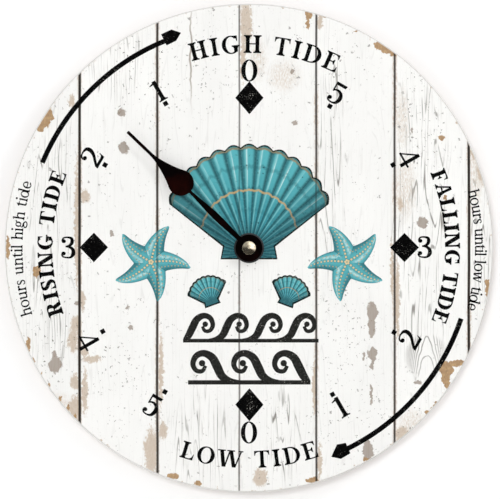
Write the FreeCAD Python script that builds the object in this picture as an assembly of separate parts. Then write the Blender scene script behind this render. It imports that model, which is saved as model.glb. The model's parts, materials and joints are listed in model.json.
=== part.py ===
import FreeCAD, Part
import math
import os

# A round wall clock with one tide hand, in millimetres. +X is right and +Z up as the dial is read,
# and +Y points at the wall. The shapes are drawn with the dial's axis on Y and the board's back at
# y = 0, and are moved at the end so that the origin is the centre of the hanger's hole.

# Dial board
BOARD_DIAMETER = 266.7
BOARD_THICKNESS = 6.35
BOARD_EDGE_ROUND = 0.6
BOARD_HOLE_CLEARANCE = 0.3

# Bushing, washer and nut that clamp the movement to the board
BUSHING_DIAMETER = 7.9
BUSHING_PAST_NUT = 0.65
BUSHING_FLANGE_FLATS = 11.0
BUSHING_TIP_CHAMFER = 0.4
THREAD_CLEARANCE = 0.03
WASHER_DIAMETER = 16.4
WASHER_THICKNESS = 0.8
NUT_FLATS = 12.0
NUT_THICKNESS = 2.5
GASKET_DIAMETER = 30.0
GASKET_THICKNESS = 1.0

# Tide hand, along its length from the dial's axis
HAND_ANGLE = -46.26
HAND_THICKNESS = 0.5
HAND_HUB_DIAMETER = 14.6
HAND_LENGTH = 91.5
HAND_BAR_WIDTH = 1.7
HAND_NECK_WIDTH = 1.64
HAND_BULGE = 25.1
HAND_BULGE_WIDTH = 3.82
HAND_ROOT_WIDTH = 2.2
HAND_LOBE = 51.3
HAND_LOBE_DIAMETER = 14.08
HAND_LOBE_LEAVES = 62.0
HAND_BAR_STARTS = 75.0
COLLET_DIAMETER = 6.0
COLLET_LENGTH = 1.0
HAND_TO_BUSHING = 0.4

# Cap nut on the tip of the arbor
CAP_DIAMETER = 7.5
CAP_SKIRT = 1.2
CAP_CONE = 2.8
CAP_TIP_ROUND = 0.7
CAP_BORE_SPARE = 0.4

# Tide arbor
ARBOR_DIAMETER = 3.0
ARBOR_SEAT_DIAMETER = 2.4
ARBOR_THREAD_DIAMETER = 1.8
ARBOR_THREAD_LENGTH = 2.2
RUNNING_CLEARANCE = 0.04

# Hanger plate
HANGER_THICKNESS = 1.0
HANGER_WIDTH = 22.0
HANGER_FOOT_ROUND = 10.9
HANGER_BEND = 1.0
HANGER_SHELF_GAP = 0.2
HANGER_TO_WALL = 1.0
KEYHOLE_DIAMETER = 8.0
KEYHOLE_SLOT_WIDTH = 4.0
KEYHOLE_SLOT_RISE = 7.0
KEYHOLE_ABOVE_SHELF = 8.5
KEYHOLE_MARGIN = 4.5
HANGER_TAB_ROUND = 5.0

# Cell
BATTERY_DIAMETER = 14.5
BATTERY_LENGTH = 50.5
BATTERY_NUB_DIAMETER = 5.5
BATTERY_NUB_LENGTH = 1.0
BATTERY_EDGE_ROUND = 0.7
BATTERY_SIDE_GAP = 0.6
BATTERY_FRONT_GAP = 0.1
BATTERY_BACK_GAP = 0.2
BATTERY_END_ROOM = 1.55
CONTACT_GAP = 0.1

# Case
CASE_WALL = 1.2
CASE_CORNER = 3.0
CASE_BACK_ROUND = 0.6
FRONT_PLATE_THICKNESS = 1.2
WHEEL_TO_PARTITION = 0.66
FINGER_NOTCH_WIDTH = 14.0
FINGER_NOTCH_DEPTH = 5.0
CLIP_OFFSET = 16.0
CLIP_WIDTH = 6.0
CLIP_LENGTH = 5.0
CLIP_THICKNESS = 0.7
CLIP_CLEARANCE = 0.1

# Wheels: modules, tooth counts and thicknesses
PRESSURE_ANGLE = 25.0
ADDENDUM = 0.8
DEDENDUM = 1.0
BACKLASH = 0.13
HOUR_MODULE = 0.4
TRAIN_MODULE = 0.3
HOUR_TEETH = 40
INTERMEDIATE_PINION_TEETH = 10
INTERMEDIATE_TEETH = 36
CANNON_TEETH = 12
SETTING_TEETH = 14
CENTRE_TEETH = 60
THIRD_PINION_TEETH = 10
THIRD_TEETH = 50
FOURTH_PINION_TEETH = 10
FOURTH_TEETH = 40
ROTOR_TEETH = 10
HOUR_WHEEL_THICKNESS = 1.0
WHEEL_THICKNESS = 0.8
PINION_OVERLAP = 0.2
HUB_SETBACK = 0.3
HOUR_SETBACK = 0.9
LEVEL_GAP = 0.6

# Directions from one wheel's axis to the next, anticlockwise from +X as the dial is read
INTERMEDIATE_DIRECTION = 143.13
SETTING_DIRECTION = 180.0
THIRD_DIRECTION = 30.0
FOURTH_DIRECTION = 75.0
ROTOR_DIRECTION = 160.0

# Arbors and pivots
PIVOT_DIAMETER = 0.8
PIVOT_LENGTH = 0.9
WHEEL_ARBOR_DIAMETER = 1.2
PIVOT_END_GAP = 0.1
BOSS_DIAMETER = 3.2
BOSS_HEIGHT = 1.3
FRONT_BOSS_HEIGHT = 0.4
BRIDGE_THICKNESS = 1.0
BRIDGE_MARGIN = 2.6
BRIDGE_POST_DIAMETER = 3.2
BRIDGE_PIN_DIAMETER = 1.4
BRIDGE_PIN_PROUD = 0.2
BRIDGE_POST_INSET = 2.2
BRIDGE_POST_ABOVE_WHEEL = 6.6

# Setting knob
KNOB_DIAMETER = 11.2
KNOB_THICKNESS = 2.0
KNOB_FLUTES = 24
KNOB_FLUTE_DIAMETER = 0.9
KNOB_SINK = 0.3
RECESS_CLEARANCE = 0.9
KNOB_TO_FLOOR = 0.3
SETTING_ARBOR_DIAMETER = 2.4

# Motor
MAGNET_DIAMETER = 3.8
MAGNET_LENGTH = 2.2
STATOR_THICKNESS = 0.8
STATOR_BORE = 4.8
STATOR_RING_WIDTH = 0.85
STATOR_STRIP_WIDTH = 3.2
STATOR_EAR_WIDTH = 3.4
STATOR_LEFT = -10.0
STATOR_RIGHT = 18.0
COIL_DIAMETER = 6.4
COIL_TO_RING = 0.3
WINDING_DIAMETER = 5.8
BARREL_DIAMETER = 3.2
BOBBIN_FLANGE = 0.8
BOBBIN_END_GAP = 0.6
CORE_WIDTH = 2.0
CORE_CLEARANCE = 0.03
COIL_TO_CASE = 0.4
SCREW_DIAMETER = 1.6
SCREW_HEAD_DIAMETER = 3.0
SCREW_HEAD_HEIGHT = 0.8
SCREW_LENGTH = 2.6
SCREW_SLOT = 0.4

# Circuit
CIRCUIT_THICKNESS = 1.0
CIRCUIT_WIDTH = 14.0
CIRCUIT_HEIGHT = 11.0
CIRCUIT_SIDE_GAP = 1.3
CIRCUIT_TOP_GAP = 1.3
CIRCUIT_BEHIND_BRIDGE = 2.4
CIRCUIT_PIN_DIAMETER = 1.2
CIRCUIT_POST_DIAMETER = 2.6
CIRCUIT_PIN_INSET = 2.0
CIRCUIT_PIN_PROUD = 0.3
CRYSTAL_DIAMETER = 2.0
CRYSTAL_LENGTH = 6.0
CHIP_DIAMETER = 4.4
CHIP_HEIGHT = 1.0

# Battery contacts
CONTACT_THICKNESS = 0.3
CONTACT_SIDE_GAP = 0.2
CONTACT_PLATE_WIDTH = 9.0
CONTACT_PLATE_HEIGHT = 10.0
POSITIVE_STRIP_WIDTH = 4.0
POSITIVE_BOSS_DIAMETER = 3.0
NEGATIVE_STRIP_WIDTH = 2.0
NEGATIVE_BOSS_DIAMETER = 7.0
NEGATIVE_BOSS_TIP = 3.0
CONTACT_TAB_HEIGHT = 2.5
CONTACT_TAB_REACH = 2.4
STRIP_APART = 0.5
SLOT_CLEARANCE = 0.2

# Levels along Y in front of the board
board_front = -BOARD_THICKNESS
washer_front = board_front - WASHER_THICKNESS
nut_front = washer_front - NUT_THICKNESS
bushing_tip = nut_front - BUSHING_PAST_NUT
collet_back = bushing_tip - HAND_TO_BUSHING
hand_back = collet_back - COLLET_LENGTH
hand_front = hand_back - HAND_THICKNESS

# Levels along Y behind the board
hanger_front = GASKET_THICKNESS
plate_front = hanger_front + HANGER_THICKNESS
plate_back = plate_front + FRONT_PLATE_THICKNESS
hour_front = plate_back + HOUR_SETBACK
hour_back = hour_front + HOUR_WHEEL_THICKNESS
motion_front = hour_back + LEVEL_GAP
motion_back = motion_front + WHEEL_THICKNESS
bridge_front = motion_back + LEVEL_GAP
bridge_back = bridge_front + BRIDGE_THICKNESS
centre_front = bridge_back + LEVEL_GAP
centre_back = centre_front + WHEEL_THICKNESS
third_front = centre_back + LEVEL_GAP
third_back = third_front + WHEEL_THICKNESS
fourth_front = third_back + LEVEL_GAP
fourth_back = fourth_front + WHEEL_THICKNESS
magnet_front = fourth_back + LEVEL_GAP
magnet_back = magnet_front + MAGNET_LENGTH
boss_front = magnet_back + LEVEL_GAP - PINION_OVERLAP
train_depth = boss_front + BOSS_HEIGHT + CASE_WALL
battery_y = plate_back + BATTERY_FRONT_GAP + BATTERY_DIAMETER / 2
battery_depth = battery_y + BATTERY_DIAMETER / 2 + BATTERY_BACK_GAP
case_back = max(train_depth, battery_depth)
wall_inside = case_back - CASE_WALL
boss_front = wall_inside - BOSS_HEIGHT
stator_front = (magnet_front + magnet_back - STATOR_THICKNESS) / 2
stator_back = stator_front + STATOR_THICKNESS
core_front = stator_front - STATOR_THICKNESS
coil_y = (core_front + stator_front) / 2
circuit_front = bridge_back + CIRCUIT_BEHIND_BRIDGE
circuit_back = circuit_front + CIRCUIT_THICKNESS


def tip_radius(teeth, module):
    return module * (teeth / 2 + ADDENDUM)


def centre_distance(first_teeth, second_teeth, module):
    return module * (first_teeth + second_teeth) / 2


def step(start, distance, direction):
    """The axis (x, z) that lies at a distance and direction from another."""
    turn = math.radians(direction)
    return (start[0] + distance * math.cos(turn), start[1] + distance * math.sin(turn))


# The cannon pinion turns on the hour wheel's axis, so both stages of the motion work have one centre distance
hour_distance = centre_distance(HOUR_TEETH, INTERMEDIATE_PINION_TEETH, HOUR_MODULE)
motion_module = 2 * hour_distance / (INTERMEDIATE_TEETH + CANNON_TEETH)

# Axes of the wheels, as (x, z)
AXIS = (0.0, 0.0)
intermediate_axis = step(AXIS, hour_distance, INTERMEDIATE_DIRECTION)
setting_axis = step(
    intermediate_axis, centre_distance(INTERMEDIATE_TEETH, SETTING_TEETH, motion_module), SETTING_DIRECTION)
third_axis = step(AXIS, centre_distance(CENTRE_TEETH, THIRD_PINION_TEETH, TRAIN_MODULE), THIRD_DIRECTION)
fourth_axis = step(
    third_axis, centre_distance(THIRD_TEETH, FOURTH_PINION_TEETH, TRAIN_MODULE), FOURTH_DIRECTION)
rotor_axis = step(fourth_axis, centre_distance(FOURTH_TEETH, ROTOR_TEETH, TRAIN_MODULE), ROTOR_DIRECTION)

# Outline of the case, worked out from the cell, the coil and the centre wheel
partition_top = -tip_radius(CENTRE_TEETH, TRAIN_MODULE) - WHEEL_TO_PARTITION
bay_top = partition_top - CASE_WALL
battery_z = bay_top - BATTERY_SIDE_GAP - BATTERY_DIAMETER / 2
bay_bottom = battery_z - BATTERY_DIAMETER / 2 - BATTERY_SIDE_GAP
case_bottom = bay_bottom - CASE_WALL
inside_right = BATTERY_LENGTH / 2 + BATTERY_END_ROOM
inside_left = -inside_right
case_right = inside_right + CASE_WALL
case_left = -case_right
stator_ring_radius = STATOR_BORE / 2 + STATOR_RING_WIDTH
coil_z = rotor_axis[1] + stator_ring_radius + COIL_TO_RING + COIL_DIAMETER / 2
inside_top = coil_z + COIL_DIAMETER / 2 + COIL_TO_CASE
case_top = inside_top + CASE_WALL

# Hanger and its keyhole
shelf_bottom = case_top + HANGER_BEND + HANGER_SHELF_GAP
shelf_top = shelf_bottom + HANGER_THICKNESS
tab_back = case_back - HANGER_TO_WALL
tab_front = tab_back - HANGER_THICKNESS
keyhole_z = shelf_top + KEYHOLE_ABOVE_SHELF
hanger_top = keyhole_z + KEYHOLE_SLOT_RISE + KEYHOLE_MARGIN
ORIGIN = (0.0, (tab_front + tab_back) / 2, keyhole_z)


def rod(diameter, front, back, axis=AXIS):
    """A round bar along Y."""
    start = FreeCAD.Vector(axis[0], front, axis[1])
    return Part.makeCylinder(diameter / 2, back - front, start, FreeCAD.Vector(0, 1, 0))


def block(left, right, front, back, bottom, top):
    return Part.makeBox(right - left, back - front, top - bottom, FreeCAD.Vector(left, front, bottom))


def rounded_wire(corners, place):
    """A closed wire through corners (u, v, radius), rounded at each radius that isn't nought."""
    stretches = []
    for index, (u, v, radius) in enumerate(corners):
        here = FreeCAD.Vector(u, v, 0)
        before = FreeCAD.Vector(corners[index - 1][0], corners[index - 1][1], 0) - here
        after_corner = corners[(index + 1) % len(corners)]
        after = FreeCAD.Vector(after_corner[0], after_corner[1], 0) - here
        if radius == 0:
            stretches.append((here, None, here))
            continue
        before.normalize()
        after.normalize()
        half = before.getAngle(after) / 2
        setback = radius / math.tan(half)
        inward = (before + after).normalize()
        centre = here + inward * (radius / math.sin(half))
        stretches.append((here + before * setback, centre - inward * radius, here + after * setback))
    edges = []
    for index, (start, middle, finish) in enumerate(stretches):
        if middle is not None:
            edges.append(Part.Arc(place(start), place(middle), place(finish)).toShape())
        following = stretches[(index + 1) % len(stretches)][0]
        if (following - finish).Length > 1e-6:
            edges.append(Part.LineSegment(place(finish), place(following)).toShape())
    return Part.Wire(edges)


def on_dial(point):
    return FreeCAD.Vector(point.x, 0, point.y)


def plate(corners, front, back):
    """A plate square to Y, from its outline's corners (x, z, radius)."""
    face = Part.Face(rounded_wire(corners, on_dial))
    face.translate(FreeCAD.Vector(0, front, 0))
    return face.extrude(FreeCAD.Vector(0, back - front, 0))


def rounded_plate(left, right, bottom, top, radius, front, back):
    corners = [(left, bottom, radius), (right, bottom, radius), (right, top, radius), (left, top, radius)]
    return plate(corners, front, back)


def turned(corners, axis=AXIS):
    """A turned piece, from its half section's corners (distance from the axis, y, radius)."""
    face = Part.Face(rounded_wire(corners, lambda point: FreeCAD.Vector(point.x, point.y, 0)))
    piece = face.revolve(FreeCAD.Vector(0, 0, 0), FreeCAD.Vector(0, 1, 0), 360)
    piece.translate(FreeCAD.Vector(axis[0], 0, axis[1]))
    return piece


def hexagon(flats, front, back):
    """A six-sided bar along Y with flats at its left and right."""
    radius = flats / math.sqrt(3)
    corners = []
    for side in range(6):
        turn = math.radians(60 * side + 30)
        corners.append((radius * math.cos(turn), radius * math.sin(turn), 0))
    return plate(corners, front, back)


def involute(angle):
    return math.tan(angle) - angle


FLANK_STEPS = 3


def toothed(teeth, module, phase, front, back, axis):
    """A solid of involute teeth, with the centre of one tooth at the phase, in degrees."""
    pitch_radius = module * teeth / 2
    base_radius = pitch_radius * math.cos(math.radians(PRESSURE_ANGLE))
    root_radius = pitch_radius - DEDENDUM * module
    outer_radius = pitch_radius + ADDENDUM * module
    thickness = module * (math.pi / 2 - BACKLASH)
    half_at_base = thickness / (2 * pitch_radius) + involute(math.radians(PRESSURE_ANGLE))
    flank_start = max(base_radius, root_radius)
    flank = [(root_radius, half_at_base)]
    if root_radius > base_radius:
        flank = []
    for index in range(FLANK_STEPS + 1):
        radius = flank_start + (outer_radius - flank_start) * index / FLANK_STEPS
        angle = math.acos(min(1.0, base_radius / radius))
        flank.append((radius, half_at_base - involute(angle)))
    points = []
    for tooth in range(teeth):
        middle = math.radians(phase) + 2 * math.pi * tooth / teeth
        sides = [(radius, middle - half) for radius, half in flank]
        sides += [(radius, middle + half) for radius, half in reversed(flank)]
        for radius, angle in sides:
            x = axis[0] + radius * math.cos(angle)
            z = axis[1] + radius * math.sin(angle)
            points.append(FreeCAD.Vector(x, front, z))
    face = Part.Face(Part.makePolygon(points + points[:1]))
    return face.extrude(FreeCAD.Vector(0, back - front, 0))


def mesh_phase(axis, teeth, phase, next_axis, next_teeth):
    """The phase at which the next wheel's teeth stand in the first wheel's gaps."""
    direction = math.degrees(math.atan2(next_axis[1] - axis[1], next_axis[0] - axis[0]))
    past_tooth = (direction - phase) * teeth / 360
    return direction + 180 - (0.5 - past_tooth) * 360 / next_teeth


def pivots(front, back, axis):
    """The thin ends of an arbor whose shoulders are at front and back."""
    return [
        rod(PIVOT_DIAMETER, front - PIVOT_LENGTH, front, axis),
        rod(PIVOT_DIAMETER, back, back + PIVOT_LENGTH, axis)]


def fused(pieces):
    return pieces[0].multiFuse(pieces[1:]).removeSplitter()


# Phases at which the wheels mesh at rest
intermediate_pinion_phase = mesh_phase(
    AXIS, HOUR_TEETH, 0.0, intermediate_axis, INTERMEDIATE_PINION_TEETH)
cannon_phase = mesh_phase(intermediate_axis, INTERMEDIATE_TEETH, 0.0, AXIS, CANNON_TEETH)
setting_phase = mesh_phase(intermediate_axis, INTERMEDIATE_TEETH, 0.0, setting_axis, SETTING_TEETH)
third_pinion_phase = mesh_phase(AXIS, CENTRE_TEETH, 0.0, third_axis, THIRD_PINION_TEETH)
fourth_pinion_phase = mesh_phase(third_axis, THIRD_TEETH, 0.0, fourth_axis, FOURTH_PINION_TEETH)
rotor_phase = mesh_phase(fourth_axis, FOURTH_TEETH, 0.0, rotor_axis, ROTOR_TEETH)

# Sizes that several pieces share
pivot_hole = PIVOT_DIAMETER + 2 * RUNNING_CLEARANCE
arbor_bore = ARBOR_DIAMETER + 2 * RUNNING_CLEARANCE
bridge_shoulder = bridge_back + HUB_SETBACK
boss_shoulder = boss_front - PIVOT_END_GAP
recess_diameter = KNOB_DIAMETER + 2 * RECESS_CLEARANCE
knob_back = case_back - KNOB_SINK
knob_front = knob_back - KNOB_THICKNESS
recess_floor = knob_front - KNOB_TO_FLOOR
arbor_pilot_depth = PIVOT_LENGTH + PIVOT_END_GAP
tide_arbor_back = hour_back + PIVOT_END_GAP
bridge_left = inside_left + BRIDGE_MARGIN
bridge_right = inside_right - BRIDGE_MARGIN
bridge_bottom = partition_top + BRIDGE_MARGIN / 4
bridge_top = rotor_axis[1] + BOSS_DIAMETER / 2 + PINION_OVERLAP
bridge_posts = [
    (bridge_left + BRIDGE_POST_INSET, bridge_bottom + BRIDGE_POST_INSET),
    (bridge_right - BRIDGE_POST_INSET, bridge_bottom + BRIDGE_POST_INSET),
    (bridge_right - BRIDGE_POST_INSET, bridge_top - BRIDGE_POST_INSET),
    (intermediate_axis[0], intermediate_axis[1] + BRIDGE_POST_ABOVE_WHEEL)]
circuit_left = inside_left + CIRCUIT_SIDE_GAP
circuit_right = circuit_left + CIRCUIT_WIDTH
circuit_top = inside_top - CIRCUIT_TOP_GAP
circuit_bottom = circuit_top - CIRCUIT_HEIGHT
circuit_pins = [
    (circuit_right - CIRCUIT_PIN_INSET, circuit_bottom + CIRCUIT_PIN_INSET),
    (circuit_left + 2 * CIRCUIT_PIN_INSET, circuit_top - CIRCUIT_PIN_INSET)]
stator_screws_at = [
    (STATOR_LEFT + STATOR_EAR_WIDTH / 2, coil_z),
    (STATOR_RIGHT - STATOR_EAR_WIDTH / 2, coil_z)]
bobbin_left = STATOR_LEFT + STATOR_EAR_WIDTH + BOBBIN_END_GAP
bobbin_right = STATOR_RIGHT - STATOR_EAR_WIDTH - BOBBIN_END_GAP
positive_outer = inside_left + CONTACT_SIDE_GAP
positive_inner = positive_outer + CONTACT_THICKNESS
negative_outer = inside_right - CONTACT_SIDE_GAP
negative_inner = negative_outer - CONTACT_THICKNESS
negative_front = circuit_back
negative_back = negative_front + NEGATIVE_STRIP_WIDTH
negative_rise = positive_inner + STRIP_APART


def dial_board():
    hole = BUSHING_DIAMETER / 2 + BOARD_HOLE_CLEARANCE
    radius = BOARD_DIAMETER / 2
    return turned([
        (hole, board_front, 0), (radius, board_front, BOARD_EDGE_ROUND),
        (radius, 0, BOARD_EDGE_ROUND), (hole, 0, 0)])


def front_washer():
    hole = BUSHING_DIAMETER / 2 + THREAD_CLEARANCE
    radius = WASHER_DIAMETER / 2
    return turned([
        (hole, washer_front, 0), (radius, washer_front, WASHER_THICKNESS / 4),
        (radius, board_front, 0), (hole, board_front, 0)])


def mounting_nut():
    nut = hexagon(NUT_FLATS, nut_front, washer_front)
    chamfer = NUT_THICKNESS / 5
    corner = NUT_FLATS / math.sqrt(3)
    limit = turned([
        (0, nut_front, 0), (NUT_FLATS / 2, nut_front, 0), (corner, nut_front + chamfer, 0),
        (corner, washer_front, 0), (0, washer_front, 0)])
    bore = rod(BUSHING_DIAMETER + 2 * THREAD_CLEARANCE, nut_front, washer_front)
    return nut.common(limit).cut(bore)


def threaded_bushing():
    radius = BUSHING_DIAMETER / 2
    barrel = turned([
        (arbor_bore / 2, bushing_tip, 0), (radius - BUSHING_TIP_CHAMFER, bushing_tip, 0),
        (radius, bushing_tip + BUSHING_TIP_CHAMFER, 0), (radius, plate_back, 0),
        (arbor_bore / 2, plate_back, 0)])
    flange = hexagon(BUSHING_FLANGE_FLATS, plate_front, plate_back).cut(rod(arbor_bore, plate_front, plate_back))
    return barrel.fuse(flange).removeSplitter()


def rubber_gasket():
    hole = rod(BUSHING_DIAMETER + 2 * THREAD_CLEARANCE, 0, GASKET_THICKNESS)
    return rod(GASKET_DIAMETER, 0, GASKET_THICKNESS).cut(hole)


def hanger_plate():
    outer_bend = HANGER_BEND + HANGER_THICKNESS
    foot = -HANGER_FOOT_ROUND
    section = rounded_wire([
        (hanger_front, foot, 0), (hanger_front, shelf_top, outer_bend),
        (tab_front, shelf_top, HANGER_BEND), (tab_front, hanger_top, 0),
        (tab_back, hanger_top, 0), (tab_back, shelf_bottom, outer_bend),
        (plate_front, shelf_bottom, HANGER_BEND), (plate_front, foot, 0)],
        lambda point: FreeCAD.Vector(-HANGER_WIDTH / 2, point.x, point.y))
    strip = Part.Face(section).extrude(FreeCAD.Vector(HANGER_WIDTH, 0, 0))
    half = HANGER_WIDTH / 2
    outline = plate([
        (-half, foot, HANGER_FOOT_ROUND), (half, foot, HANGER_FOOT_ROUND),
        (half, hanger_top, HANGER_TAB_ROUND), (-half, hanger_top, HANGER_TAB_ROUND)],
        hanger_front, tab_back)
    ring_hole = rod(BUSHING_DIAMETER + 2 * THREAD_CLEARANCE, hanger_front, plate_front)
    keyhole = rod(KEYHOLE_DIAMETER, tab_front, tab_back, (0, keyhole_z))
    slot_half = KEYHOLE_SLOT_WIDTH / 2
    slot_end = keyhole_z + KEYHOLE_SLOT_RISE
    slot = block(-slot_half, slot_half, tab_front, tab_back, keyhole_z, slot_end - slot_half)
    slot_round = rod(KEYHOLE_SLOT_WIDTH, tab_front, tab_back, (0, slot_end - slot_half))
    return strip.common(outline).cut(fused([keyhole, slot, slot_round])).cut(ring_hole)


def hand_half():
    """The half of the blade on one side of its centre line, pointing along +X."""
    neck_half = HAND_NECK_WIDTH / 2
    bar_half = HAND_BAR_WIDTH / 2
    lobe_radius = HAND_LOBE_DIAMETER / 2
    bulge_half = HAND_BULGE_WIDTH / 2
    root_half = HAND_ROOT_WIDTH / 2
    neck_x = HAND_LOBE - math.sqrt(lobe_radius ** 2 - neck_half ** 2)
    spindle = Part.BSplineCurve()
    spindle.interpolate([
        FreeCAD.Vector(0, 0, root_half),
        FreeCAD.Vector(HAND_BULGE * 0.35, 0, root_half + (bulge_half - root_half) * 0.25),
        FreeCAD.Vector(HAND_BULGE * 0.7, 0, root_half + (bulge_half - root_half) * 0.75),
        FreeCAD.Vector(HAND_BULGE, 0, bulge_half),
        FreeCAD.Vector((HAND_BULGE + neck_x) / 2, 0, neck_half + (bulge_half - neck_half) * 0.5),
        FreeCAD.Vector(neck_x, 0, neck_half)])
    leave = math.radians(HAND_LOBE_LEAVES)
    top = FreeCAD.Vector(HAND_LOBE, 0, lobe_radius)
    left = FreeCAD.Vector(HAND_LOBE + lobe_radius * math.cos(leave), 0, lobe_radius * math.sin(leave))
    lobe = Part.Arc(FreeCAD.Vector(neck_x, 0, neck_half), top, left)
    span = HAND_BAR_STARTS - left.x
    fall = left.z - bar_half
    ogee = Part.BSplineCurve()
    ogee.interpolate(
        Points=[
            left,
            FreeCAD.Vector(left.x + span * 0.32, 0, bar_half + fall * 0.5),
            FreeCAD.Vector(left.x + span * 0.62, 0, bar_half + fall * 0.17),
            FreeCAD.Vector(HAND_BAR_STARTS, 0, bar_half)],
        InitialTangent=FreeCAD.Vector(math.sin(leave), 0, -math.cos(leave)),
        FinalTangent=FreeCAD.Vector(1, 0, 0))
    tip_round = bar_half / 3
    tip_diagonal = tip_round * (1 - math.sqrt(0.5))
    tip = Part.Arc(
        FreeCAD.Vector(HAND_LENGTH - tip_round, 0, bar_half),
        FreeCAD.Vector(HAND_LENGTH - tip_diagonal, 0, bar_half - tip_diagonal),
        FreeCAD.Vector(HAND_LENGTH, 0, bar_half - tip_round))
    start = FreeCAD.Vector(0, 0, 0)
    end = FreeCAD.Vector(HAND_LENGTH, 0, 0)
    wire = Part.Wire([
        Part.LineSegment(start, FreeCAD.Vector(0, 0, root_half)).toShape(),
        spindle.toShape(), lobe.toShape(), ogee.toShape(),
        Part.LineSegment(FreeCAD.Vector(HAND_BAR_STARTS, 0, bar_half),
                         FreeCAD.Vector(HAND_LENGTH - tip_round, 0, bar_half)).toShape(),
        tip.toShape(),
        Part.LineSegment(FreeCAD.Vector(HAND_LENGTH, 0, bar_half - tip_round), end).toShape(),
        Part.LineSegment(end, start).toShape()])
    face = Part.Face(wire)
    face.translate(FreeCAD.Vector(0, hand_front, 0))
    return face.extrude(FreeCAD.Vector(0, HAND_THICKNESS, 0))


def tide_hand():
    half = hand_half()
    other = half.mirror(FreeCAD.Vector(0, 0, 0), FreeCAD.Vector(0, 0, 1))
    hub = rod(HAND_HUB_DIAMETER, hand_front, hand_back)
    blade = fused([half, other, hub]).cut(rod(ARBOR_SEAT_DIAMETER, hand_front, hand_back))
    blade.rotate(FreeCAD.Vector(0, 0, 0), FreeCAD.Vector(0, 1, 0), HAND_ANGLE - 90)
    return blade


def hand_collet():
    return rod(COLLET_DIAMETER, hand_back, collet_back).cut(rod(ARBOR_SEAT_DIAMETER, hand_back, collet_back))


def cap_nut():
    radius = CAP_DIAMETER / 2
    skirt_front = hand_front - CAP_SKIRT
    tip = skirt_front - CAP_CONE
    bore = hand_front - ARBOR_THREAD_LENGTH - CAP_BORE_SPARE
    thread = ARBOR_THREAD_DIAMETER / 2 + THREAD_CLEARANCE
    return turned([
        (0, tip, 0), (CAP_TIP_ROUND, tip, CAP_TIP_ROUND / 2), (radius, skirt_front, CAP_SKIRT / 3),
        (radius, hand_front, 0), (thread, hand_front, 0), (thread, bore, 0), (0, bore, 0)])


def tide_arbor():
    pilot = PIVOT_DIAMETER / 2 + RUNNING_CLEARANCE
    return turned([
        (0, hand_front - ARBOR_THREAD_LENGTH, 0),
        (ARBOR_THREAD_DIAMETER / 2, hand_front - ARBOR_THREAD_LENGTH, 0),
        (ARBOR_THREAD_DIAMETER / 2, hand_front, 0), (ARBOR_SEAT_DIAMETER / 2, hand_front, 0),
        (ARBOR_SEAT_DIAMETER / 2, collet_back, 0), (ARBOR_DIAMETER / 2, collet_back, 0),
        (ARBOR_DIAMETER / 2, tide_arbor_back, 0), (pilot, tide_arbor_back, 0),
        (pilot, tide_arbor_back - arbor_pilot_depth, 0), (0, tide_arbor_back - arbor_pilot_depth, 0)])


def hour_wheel():
    teeth = toothed(HOUR_TEETH, HOUR_MODULE, 0.0, hour_front, hour_back, AXIS)
    hub = rod(ARBOR_DIAMETER * 1.7, plate_back + HUB_SETBACK, hour_back)
    return fused([teeth, hub]).cut(rod(ARBOR_DIAMETER, plate_back, hour_back))


def intermediate_wheel():
    shoulder_front = plate_back + FRONT_BOSS_HEIGHT + PIVOT_END_GAP
    shoulder_back = bridge_front - PIVOT_END_GAP
    pinion = toothed(
        INTERMEDIATE_PINION_TEETH, HOUR_MODULE, intermediate_pinion_phase,
        hour_front - PINION_OVERLAP, hour_back + PINION_OVERLAP, intermediate_axis)
    wheel = toothed(INTERMEDIATE_TEETH, motion_module, 0.0, motion_front, motion_back, intermediate_axis)
    arbor = rod(WHEEL_ARBOR_DIAMETER, shoulder_front, shoulder_back, intermediate_axis)
    return fused([pinion, wheel, arbor] + pivots(shoulder_front, shoulder_back, intermediate_axis))


def cannon_pinion():
    front = motion_front - PINION_OVERLAP
    back = motion_back + PINION_OVERLAP
    teeth = toothed(CANNON_TEETH, motion_module, cannon_phase, front, back, AXIS)
    return teeth.cut(rod(WHEEL_ARBOR_DIAMETER + 2 * RUNNING_CLEARANCE, front, back))


def setting_arbor():
    shoulder_front = plate_back + FRONT_BOSS_HEIGHT + PIVOT_END_GAP
    teeth = toothed(
        SETTING_TEETH, motion_module, setting_phase,
        motion_front - PINION_OVERLAP, motion_back + PINION_OVERLAP, setting_axis)
    arbor = rod(SETTING_ARBOR_DIAMETER, shoulder_front, knob_back - KNOB_THICKNESS / 4, setting_axis)
    pivot = rod(PIVOT_DIAMETER, shoulder_front - PIVOT_LENGTH, shoulder_front, setting_axis)
    return fused([teeth, arbor, pivot])


def setting_knob():
    radius = KNOB_DIAMETER / 2
    knob = turned([
        (0, knob_front, 0), (radius, knob_front, 0),
        (radius, knob_back, KNOB_THICKNESS / 6), (0, knob_back, 0)], setting_axis)
    flutes = []
    for flute in range(KNOB_FLUTES):
        at = step(setting_axis, radius + KNOB_FLUTE_DIAMETER / 6, 360 * flute / KNOB_FLUTES)
        flutes.append(rod(KNOB_FLUTE_DIAMETER, knob_front, knob_back, at))
    seat = rod(SETTING_ARBOR_DIAMETER, knob_front, knob_back - KNOB_THICKNESS / 4, setting_axis)
    return knob.cut(flutes).cut(seat)


def centre_arbor():
    nose_front = tide_arbor_back - arbor_pilot_depth + PIVOT_END_GAP
    nose = rod(PIVOT_DIAMETER, nose_front, tide_arbor_back + PIVOT_END_GAP)
    body = rod(WHEEL_ARBOR_DIAMETER, tide_arbor_back + PIVOT_END_GAP, boss_shoulder)
    tail = rod(PIVOT_DIAMETER, boss_shoulder, boss_shoulder + PIVOT_LENGTH)
    return fused([nose, body, tail])


def centre_wheel():
    teeth = toothed(CENTRE_TEETH, TRAIN_MODULE, 0.0, centre_front, centre_back, AXIS)
    hub = rod(3 * WHEEL_ARBOR_DIAMETER, bridge_shoulder, centre_back)
    return fused([teeth, hub]).cut(rod(WHEEL_ARBOR_DIAMETER, bridge_back, centre_back))


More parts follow.
